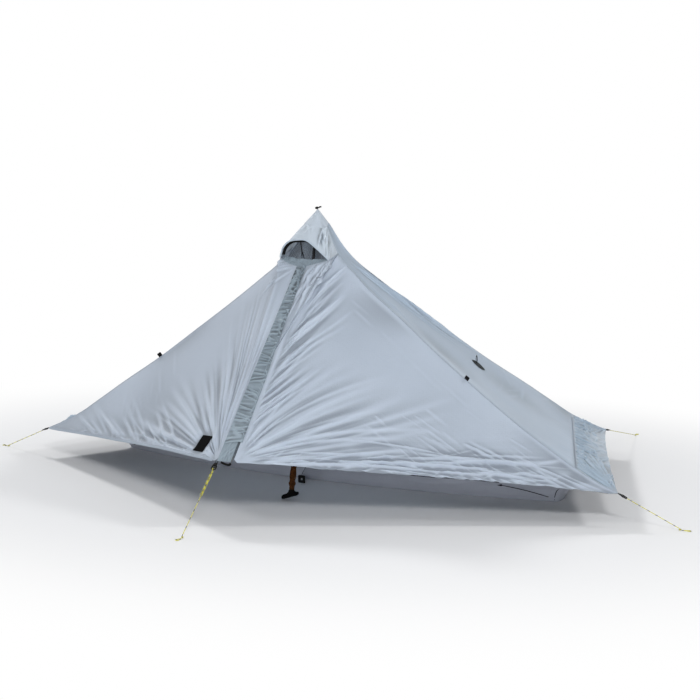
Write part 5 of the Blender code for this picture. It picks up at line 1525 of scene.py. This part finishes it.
for sheet, node in (
        (left_flap, "left_flap"), (gusset, "zip_gusset"), (strip, "zip_strip"),
        (end_right, "end_wall_right"), (end_left, "end_wall_left"),
        (tail_right, "end_skirt_right"), (tail_left, "end_skirt_left"),
        (back_right, "back_wall_right"), (back_left, "back_wall_left"), (hood, "vent_hood"),
        (lip, "vent_lip"), (cap, "peak_cap"), (tub, "bathtub_floor"),
        (net_left, "net_wall_left"), (net_right, "net_wall_right"), (net_skirt, "net_skirt")):
    declare(sheet, "tent", node)
declare(net_door, "net_door", "net_door")
declare(storm, "tent", "storm_flap")
on_tent(binding, "vent_rim")
on_tent(peak_cord)

tuple(square_to_zip(-left_of_zip(0.5)))
tuple(crest_point(0.5))
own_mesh(storm)
declare(door, None, "door_flap")
chord = (front_corner - right_seam_peak).normalized()
into_door = (zip_foot - right_seam_peak)
into_door = (into_door - chord * into_door.dot(chord)).normalized()
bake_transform(door)

# ---------------------------------------------------------------- seams and stitches


seam_section = ((-1, 0.0003), (-0.9, 0.0008), (-0.35, 0.0011), (0, 0.0014), (0.35, 0.0011),
                (0.9, 0.0008), (1, 0.0003))


def sides_along(path, outward):
    """Each point's way across the path and way out of the cloth."""
    sides = []
    for k in range(len(path)):
        run = (path[min(k + 1, len(path) - 1)] - path[max(k - 1, 0)]).normalized()
        out = Vector(outward)
        out = (out - run * out.dot(run)).normalized()
        sides.append((run.cross(out).normalized(), out))
    return sides


def ridge_seam(name, line, start, targets, outward):
    """The felled seam along a ridge, laid toward a point or a ridge on each side."""
    runs = [start + (0.99 - start) * u for u in steps(90)]
    path = [line(run) for run in runs]
    sides = sides_along(path, outward)
    ways = [[((target(run) if callable(target) else target) - p).normalized()
             for run, p in zip(runs, path)] for target in targets]
    rows, uv = [], []
    half, length = 0.005, 0.0
    for k, (p, (_, out)) in enumerate(zip(path, sides)):
        if k:
            length += (p - path[k - 1]).length
        rows.append([tuple(p + ways[t > 0][k] * (half * abs(t)) + out * lift)
                     for t, lift in seam_section])
        uv.append([(length, t * half) for t, _ in seam_section])
    on_tent(add_grid(name, np.array(rows), seam_cloth, np.array(uv)))
    for n, way in zip("ab", ways):
        pairs = [(across, out) for across, (_, out) in zip(way, sides)]
        seam_dashes(name + "_stitches_" + n, path, pairs, 0.0036, 0.0013)


for name, line, start, targets, outward in (
        ("front_right", door_ridge, 0.075, (zip_foot, rear_ridge), (0.5, -0.5, 0.7)),
        ("front_left", left_ridge, 0.087, (front_point, rear_left_ridge), (-0.5, -0.5, 0.7)),
        ("rear_right", rear_ridge, 0.035, (door_ridge, back_ridge), (0.5, 0.5, 0.7)),
        ("rear_left", rear_left_ridge, 0.035, (left_ridge, back_ridge), (-0.5, 0.5, 0.7)),
        ("back", back_ridge, 0.035, (rear_ridge, rear_left_ridge), (0, 0.6, 0.8))):
    ridge_seam("seam_" + name, line, start, targets, outward)


def strip_seam(name, points, outward, width=0.009, paint=seam_cloth):
    """A flat tape seam along a line of points, with its stitches."""
    path = smooth_path([Vector(p) for p in points], 0.012)
    sides = sides_along(path, outward)
    on_tent(ribbon(name, path, sides, width, 0.0007, paint))
    seam_dashes(name + "_stitches", path, sides, width * 0.30, 0.0007 + 0.0012)


strip_seam("seam_hood_left", [left_vent_corner, left_seam_peak], (-0.4, -0.7, 0.6))
strip_seam("seam_hood_right", [right_vent_corner, right_seam_peak], (0.4, -0.7, 0.6))
for name, P, out in (("right", end_right_grid, (1, 0, 0.4)), ("left", end_left_grid, (-1, 0, 0.4))):
    strip_seam("seam_tail_" + name, [P[-1, i] for i in range(1, P.shape[1] - 1, 6)], out, 0.010)
strip_seam("seam_lip", [lip_point(u) for u in np.linspace(0.03, 0.97, 12)], (0, -1, 0.2), 0.006,
           band_cloth)
strip_seam("seam_gusset_leg", [gusset_foot.lerp(right_seam_peak, u) for u in steps(12)],
           (0.3, -0.8, 0.5), 0.007)
strip_seam("hem_left", [left_grid[j, -1] for j in range(6, left_grid.shape[0], 8)],
           (-0.3, -0.7, 0.5), 0.014)

# ---------------------------------------------------------------- badge and small fittings


def laid_patch(P, frame_matrix, half_x, half_y, counts, height):
    """A patch's grid dropped along its frame's -Z onto a panel's grid."""
    tree = BVHTree.FromPolygons([Vector(p) for p in P.reshape(-1, 3)], grid_faces(*P.shape[:2]))
    down = frame_matrix.to_3x3() @ Vector((0, 0, -1))

    def place(u, v):
        x, y = half_x * (2 * u - 1), half_y * (2 * v - 1)
        hit = tree.ray_cast(frame_matrix @ Vector((x, y, 0.1)), down)[0]
        return (hit or frame_matrix @ Vector((x, y, 0))) - down * height

    return grid_of(place, steps(counts[0]), steps(counts[1]))


def make_badge():
    """A plain woven badge with a piped edge."""
    paint = Paint("badge_weave", (0.005, 0.005, 0.005), 0.8, specular=0.02)
    weave = paint.threads("MULTIPLY", "UV", 330.0)
    paint.colour(paint.ramp(weave, ((0.1, (0.002, 0.002, 0.002)), (0.8, (0.008, 0.008, 0.009)))))
    paint.bump(weave, 0.5, 0.0004)
    half, count = 0.039, 16
    lay = frame_from(badge_centre, (front_point - left_corner).normalized(), outward_left)
    B = laid_patch(left_grid, lay, half, half, (count, count), 0.0018)
    flat = np.linspace(-half, half, count)
    badge = add_grid("badge_patch", B, paint, plane_uv(flat, flat))
    thicken(badge, 0.0010, -1 if normals_of(B)[8, 8] @ np.array(outward_left) > 0 else 1)
    on_tent(badge, "badge")
    edge = np.concatenate([B[0], B[1:, -1], B[-1, -2::-1], B[-2::-1, 0]])
    border = [Vector(p) + outward_left * 0.0004 for p in edge]
    on_tent(tube_mesh("badge_piping", border, 0.0008, webbing_cloth, 6))


make_badge()


def webbing_loop(name, corner, direction, hems=()):
    """A corner's webbing: folded over the buckle's bar and bar-tacked to itself."""
    start, _ = corner_frame(corner, direction, hems)
    bar_at = webbing_length - bar_bend - webbing_thickness
    middle = bar_bend + webbing_thickness / 2
    neck = webbing_length * 0.35
    line = [(0.0, webbing_thickness * 0.55), (neck, webbing_thickness * 0.60)]
    for i in range(13):
        a = math.radians(90 - 180 * i / 12)
        line.append((bar_at + middle * math.cos(a), middle * math.sin(a)))
    line += [(neck, -webbing_thickness * 0.60), (0.0, -webbing_thickness * 0.55)]
    dense = smooth_path([Vector((x, 0, z)) for x, z in line], 0.0012)
    widths = [0.0072 * t for t in (-1, -0.94, -0.5, 0, 0.5, 0.94, 1)]
    P = np.array([[tuple(start @ Vector((p.x, w, p.z))) for w in widths] for p in dense])
    run = np.concatenate([[0], np.cumsum([(b - a).length for a, b in zip(dense, dense[1:])])])
    made = add_grid("webbing_strap_" + name, P, webbing_cloth, plane_uv(widths, run))
    thicken(made, webbing_thickness * 0.8, 0.0)
    on_tent(made, "webbing_" + name)
    tack = [start @ Vector((neck * (0.25 + 0.14 * k), 0.0058 if k % 2 else -0.0058,
                            webbing_thickness * 1.08)) for k in range(5)]
    on_tent(tube_mesh("tack_" + name, smooth_path(tack, 0.0008), 0.0004, thread, 5))


for name, (corner, end_place) in ends.items():
    webbing_loop(name, corner, at(*end_place) - corner,
                 (rear_point,) if name == "rear_right" else ())
rear_way = at(0.941, 1.786, 0) - rear_corner
webbing_loop("rear_left", rear_left_corner, Vector((-rear_way.x, rear_way.y, rear_way.z)),
             (rear_point,))
webbing_loop("back", rear_point, Vector((0, rear_way.y, rear_way.z)))


def make_guyout(name, front, back, P):
    """The dark lens-shaped patch on an end wall, with its upright pull loop."""
    middle = front(0.545).lerp(back(0.545), 0.72)
    down = (front(1).lerp(back(1), 0.72) - peak).normalized()
    out = down.cross(front(1) - back(1)).normalized()
    out = out if out.z > 0 else -out
    long, wide = 22, 9
    G = laid_patch(P, frame_from(middle, down, out), 0.037, 0.032, (long, wide), 0.0014)
    pinch = 1 - 0.8 * np.linspace(-1, 1, long)**2
    G = G[wide // 2] + (G - G[wide // 2]) * pinch[None, :, None]
    patch = add_grid("guyout_patch_" + name, G, patch_cloth,
                     plane_uv(np.linspace(0, 0.074, long), np.linspace(0, 0.064, wide)))
    thicken(patch, 0.0012, 0.0)
    on_tent(patch, "guyout_" + name)
    foot = Vector(G[4, 7]) + up * 0.019 + out * 0.001
    level_way = down.cross(out).normalized()
    aside = level_way.cross(up).normalized()
    rows = []
    for k in range(21):
        a = math.radians(-80 + 340 * k / 20)
        p = foot + up * (0.0165 * math.sin(a)) + aside * (0.0028 * math.cos(a))
        rows.append([tuple(p + level_way * w) for w in (-0.0055, -0.0050, 0, 0.0050, 0.0055)])
    loop = add_grid("guyout_loop_" + name, np.array(rows), webbing_cloth,
                    plane_uv(np.linspace(0, 0.011, 5), np.linspace(0, 0.06, 21)))
    thicken(loop, 0.0013, 0.0)
    on_tent(loop)
    return out


end_out = {"right": make_guyout("right", door_ridge, rear_ridge, end_right_grid),
           "left": make_guyout("left", left_ridge, rear_left_ridge, end_left_grid)}


def make_ridge_tab(name, front, run, side):
    """A doubled webbing tab that stands up out of a ridge seam."""
    here = front(run)
    slope = (front(run + 0.02) - front(run - 0.02)).normalized()
    flap_out = Vector((-side * outward_left.x, outward_left.y, outward_left.z))
    stand = (end_out[name] + flap_out).normalized()
    stand = (stand - slope * stand.dot(slope)).normalized()
    across = slope.cross(stand).normalized()
    line = [(0.0011, 0.0006), (0.0013, 0.008)]
    for k in range(17):
        a = math.radians(180 * k / 16)
        line.append((0.0016 * math.cos(a), 0.0008 + 0.0155 + 0.0022 * math.sin(a)))
    line += [(-0.0013, 0.008), (-0.0011, 0.0006)]
    rows = [[tuple(here + across * x + stand * z + slope * w)
             for w in (-0.0098, -0.009, 0, 0.009, 0.0098)] for x, z in line]
    tab = add_grid("tab_" + name, np.array(rows), webbing_cloth,
                   plane_uv(np.linspace(0, 0.02, 5), np.linspace(0, 0.04, len(line))))
    thicken(tab, 0.0011, 0.0)
    on_tent(tab, "ridge_tab_" + name)


make_ridge_tab("right", door_ridge, 0.516, 1)
make_ridge_tab("left", left_ridge, 0.560, -1)


def make_grommet():
    """The hanging webbing tab with its pressed metal ring, and the cord that holds it."""
    half, thick = 0.018, 0.0011
    centre = at(-0.060, -0.029, half + seat)
    turns = [2 * math.pi * k / 48 for k in range(48)]
    square = [min(half * 0.99 / max(abs(math.cos(a)), abs(math.sin(a))), half * 1.30)
              for a in turns]
    hole = [0.0046] * len(turns)
    P = np.array([[(r * math.cos(a), y, r * math.sin(a)) for a, r in zip(turns, reach)]
                  for y, reach in ((-thick, hole), (-thick, square), (thick, square),
                                   (thick, hole))]) + np.array(centre)
    tab = add_grid("grommet_webbing", P, webbing_cloth,
                   plane_uv(np.linspace(0, 0.12, 48), (0, 0.015, 0.018, 0.033)), closed=True)
    on_tent(tab, "grommet_tab")
    ring_rows = []
    for k in range(12):
        a = 2 * math.pi * k / 12
        r = 0.0056 + 0.0014 * math.cos(a)
        y = -0.0006 + 0.0013 * math.sin(a)
        ring_rows.append([(r * math.cos(t) + centre.x, y + centre.y, r * math.sin(t) + centre.z)
                          for t in np.linspace(0, 2 * math.pi, 33)[:-1]])
    ring_rows.append(ring_rows[0])
    on_tent(add_grid("grommet_ring", np.array(ring_rows), slider_metal,
                     plane_uv(np.linspace(0, 0.035, 32), np.linspace(0, 0.009, 13)),
                     closed=True))

    cord_radius = 0.0011
    top = centre + up * (half + cord_radius + seat)
    off_wall = 0.010 * floor_lean / floor_wall - cord_radius
    hold = on_rim(-0.060) + Vector((0, off_wall, -0.010))
    sag = top.lerp(hold, 0.5) - Vector((0, 0.005, 0))
    path = smooth_path([top, sag, hold], 0.003)
    cord = on_tent(tube_mesh("tab_line", path, cord_radius, cord_braid), "tab_cord")
    length_of(path)


make_grommet()


def make_floor_tie(name, side):
    """The elastic that draws the floor's corner out, and the clip at its end."""
    half = floor_sides[side][0]

    def wall_place(x, height):
        front = floor_front(side, x / half)
        base = at(side * front.x, front.y, 0)
        return base.lerp(on_rim(side * x), height / floor_wall)

    def off_wall(x, height, clear):
        rise = wall_place(x, floor_wall) - wall_place(x, 0)
        run = wall_place(x + 0.022, 0) - wall_place(x, 0)
        out = run.cross(rise).normalized() * side
        return wall_place(x, height) + out * (clear + seat)

    clip_out, end_at = half * 0.79, half * 0.98
    clear = 0.002 + seat
    start = off_wall(clip_out + 0.022 * 0.3, floor_wall * 0.82, clear)
    middle = off_wall(clip_out + (end_at - clip_out) * 0.55, floor_wall * 0.60, clear)
    end = off_wall(end_at, floor_wall * 0.30, 0.0011)
    path = smooth_path([start, middle, end], 0.004)
    tie_radius = 0.0018
    cord = on_tent(tube_mesh("tie_line_" + name, path, tie_radius, webbing_cloth),
                   "floor_tie_" + name)
    rise = wall_place(clip_out, floor_wall) - wall_place(clip_out, 0)
    clip_at = off_wall(clip_out, floor_wall * 0.83, clear)
    hold = frame_from(clip_at, start - clip_at, rise)
    shape = bmesh.new()
    bmesh.ops.create_cube(shape, size=1.0, matrix=Matrix.Diagonal((0.022, 0.004, 0.010, 1)))
    bmesh.ops.bevel(shape, geom=shape.edges[:], offset=0.0012, segments=3, affect="EDGES")
    inset = [f for f in shape.faces if f.calc_area() > 0.00005]
    bmesh.ops.inset_individual(shape, faces=inset, thickness=0.0012, depth=-0.0007)
    shape.transform(hold)
    data = bpy.data.meshes.new("tie_clip_" + name)
    shape.to_mesh(data)
    shape.free()
    data.materials.append(buckle_plastic.made)
    clip = bpy.data.objects.new("tie_clip_" + name, data)
    bpy.context.scene.collection.objects.link(clip)
    on_tent(clip)
    length_of(path)


make_floor_tie("right", 1)
make_floor_tie("left", -1)


def make_corner_seam(name, side):
    """The dark taped seam up the floor's corner."""
    last = len(tub_grid) - 4
    path = [Vector(tub_grid[3 + k, side * (front_count - 1 + round(3.5 * k / last))])
            for k in range(0, last + 1, 4)]
    on_tent(tube_mesh("floor_seam_" + name, smooth_path(path, 0.006), 0.0018, patch_cloth))


make_corner_seam("right", 1)
make_corner_seam("left", -1)
# A dark tube round the floor's rim: painted shade for the dark gap between the canopy's hem and the
# floor.
rim = [Vector(p) for p in tub_grid[-1]]
on_tent(tube_mesh("floor_rim_shade", rim + rim[:1], 0.0020, patch_cloth))


def make_grip_collar():
    """The black collar at the grip's upper end."""
    grip = nodes["pole_grip"]
    points = [grip.matrix_world @ v.co for v in grip.data.vertices]
    centre = sum(points, Vector()) / len(points)
    axis = (at(0, 0, 1.20) - centre).normalized()
    high = max((p - centre).dot(axis) for p in points)
    path = [centre + axis * (high + step) for step in (-0.0135, -0.0115, -0.0020, 0.0008)]
    on_tent(tube_mesh("grip_collar", path, 0.0172, head_rubber, 24))


make_grip_collar()
# The doubled webbing that holds the zip's foot to the staked corner
anchor = [front_point.lerp(zip_foot, u) + Vector((0, -0.004, -drop))
          for u, drop in ((0.30, 0.002), (0.45, 0.006), (0.65, 0.010), (0.85, 0.011),
                          (0.95, 0.004))]
on_tent(tube_mesh("zip_anchor", smooth_path(anchor, 0.004), 0.0050, webbing_cloth))

# ---------------------------------------------------------------- carried-over solids

for paint, members in (
        (buckle_plastic, [n for n in nodes if n.startswith(("buckle_", "lock_", "lever_"))]),
        (head_rubber, ["pole_head"]),
        (grip_cork, ["pole_grip"]),
        (shaft_metal, ["pole_upper", "pole_middle", "pole_lower"]),
        (slider_metal, ["zip_slider", "zip_pull"]),
        (tape_cloth, ["zip_left", "zip_right"]),
        (webbing_cloth, ["pole_cup", "vent_prop"])):
    for n in members:
        for slot in nodes[n].material_slots:
            slot.material = paint.made

# ---------------------------------------------------------------- stage and light


def seen_rays(tree):
    """1 for rays that show white: from the camera, off gloss or through clear pieces."""
    rays = tree.nodes.new("ShaderNodeLightPath")
    seen = rays.outputs["Is Camera Ray"]
    for kind in ("Is Glossy Ray", "Is Transmission Ray"):
        either = tree.nodes.new("ShaderNodeMath")
        either.operation = "MAXIMUM"
        tree.links.new(seen, either.inputs[0])
        tree.links.new(rays.outputs[kind], either.inputs[1])
        seen = either.outputs[0]
    return seen


def make_stage():
    """The ground: lit near the tent, and plain white farther out."""
    data = bpy.data.meshes.new("ground")
    data.from_pydata([(-60, -60, 0), (60, -60, 0), (60, 60, 0), (-60, 60, 0)], [], [(0, 1, 2, 3)])
    ground = bpy.data.objects.new("ground", data)
    bpy.context.scene.collection.objects.link(ground)
    paint = Paint("ground_white", (0.86, 0.86, 0.865), 0.9, specular=0.1)
    distance = paint.node("ShaderNodeVectorMath", operation="LENGTH")
    spread = paint.node("ShaderNodeMapRange", interpolation_type="SMOOTHSTEP", From_Min=1.15,
                        From_Max=2.6)
    far_white = paint.node("ShaderNodeEmission", Color=(1, 1, 1, 1))
    chosen = paint.node("ShaderNodeMixShader")
    paint.link(paint.coordinates("Object", (0.80, 1.0, 1.0)), distance.inputs[0])
    paint.link(distance.outputs["Value"], spread.inputs["Value"])
    paint.link(paint.maths("MULTIPLY", seen_rays(paint.tree), spread.outputs["Result"]),
               chosen.inputs["Fac"])
    paint.link(paint.shader.outputs[0], chosen.inputs[1])
    paint.link(far_white.outputs[0], chosen.inputs[2])
    paint.link(chosen.outputs[0], paint.tree.nodes["Material Output"].inputs["Surface"])
    data.materials.append(paint.made)


def make_world():
    """A soft sky for the light, and plain white wherever it shows."""
    world = bpy.data.worlds.new("studio")
    bpy.context.scene.world = world
    world.use_nodes = True
    tree = world.node_tree
    tree.nodes.clear()
    mixed = tree.nodes.new("ShaderNodeMixShader")
    output = tree.nodes.new("ShaderNodeOutputWorld")
    tree.links.new(seen_rays(tree), mixed.inputs["Fac"])
    for i, colour, strength in ((1, (0.93, 0.96, 1.0, 1), 0.30), (2, (1, 1, 1, 1), 1.0)):
        sky = tree.nodes.new("ShaderNodeBackground")
        sky.inputs["Color"].default_value = colour
        sky.inputs["Strength"].default_value = strength
        tree.links.new(sky.outputs[0], mixed.inputs[i])
    tree.links.new(mixed.outputs[0], output.inputs[0])


def lamp(name, place, target, size, power):
    data = bpy.data.lights.new(name, "AREA")
    data.shape = "DISK"
    data.size = size
    data.energy = power
    made = bpy.data.objects.new(name, data)
    made.matrix_world = (Matrix.Translation(place)
                         @ (Vector(target) - Vector(place)).to_track_quat("-Z", "Y")
                         .to_matrix().to_4x4())
    bpy.context.scene.collection.objects.link(made)


make_stage()
make_world()
lamp("key", (4.5, -6.0, 4.5), (0, -0.3, 0.5), 1.3, 236)
lamp("back_right", (6.0, 3.0, 6.0), (0.4, 0, 0.4), 1.3, 178)
lamp("back_left", (-5.0, 3.0, 6.0), (-0.4, 0, 0.4), 1.3, 235)
lamp("high_left", (-3.0, -5.0, 6.0), (0, -0.3, 0.5), 1.3, 66)
lamp("low_front", (2.0, -7.5, 0.9), (0, 0, 0.05), 2.5, 130)
lamp("inside", (0.0, 0.2, 0.40), (0, 0.1, 1.2), 0.8, 5.0)

bpy.context.scene.view_settings.view_transform = "Standard"
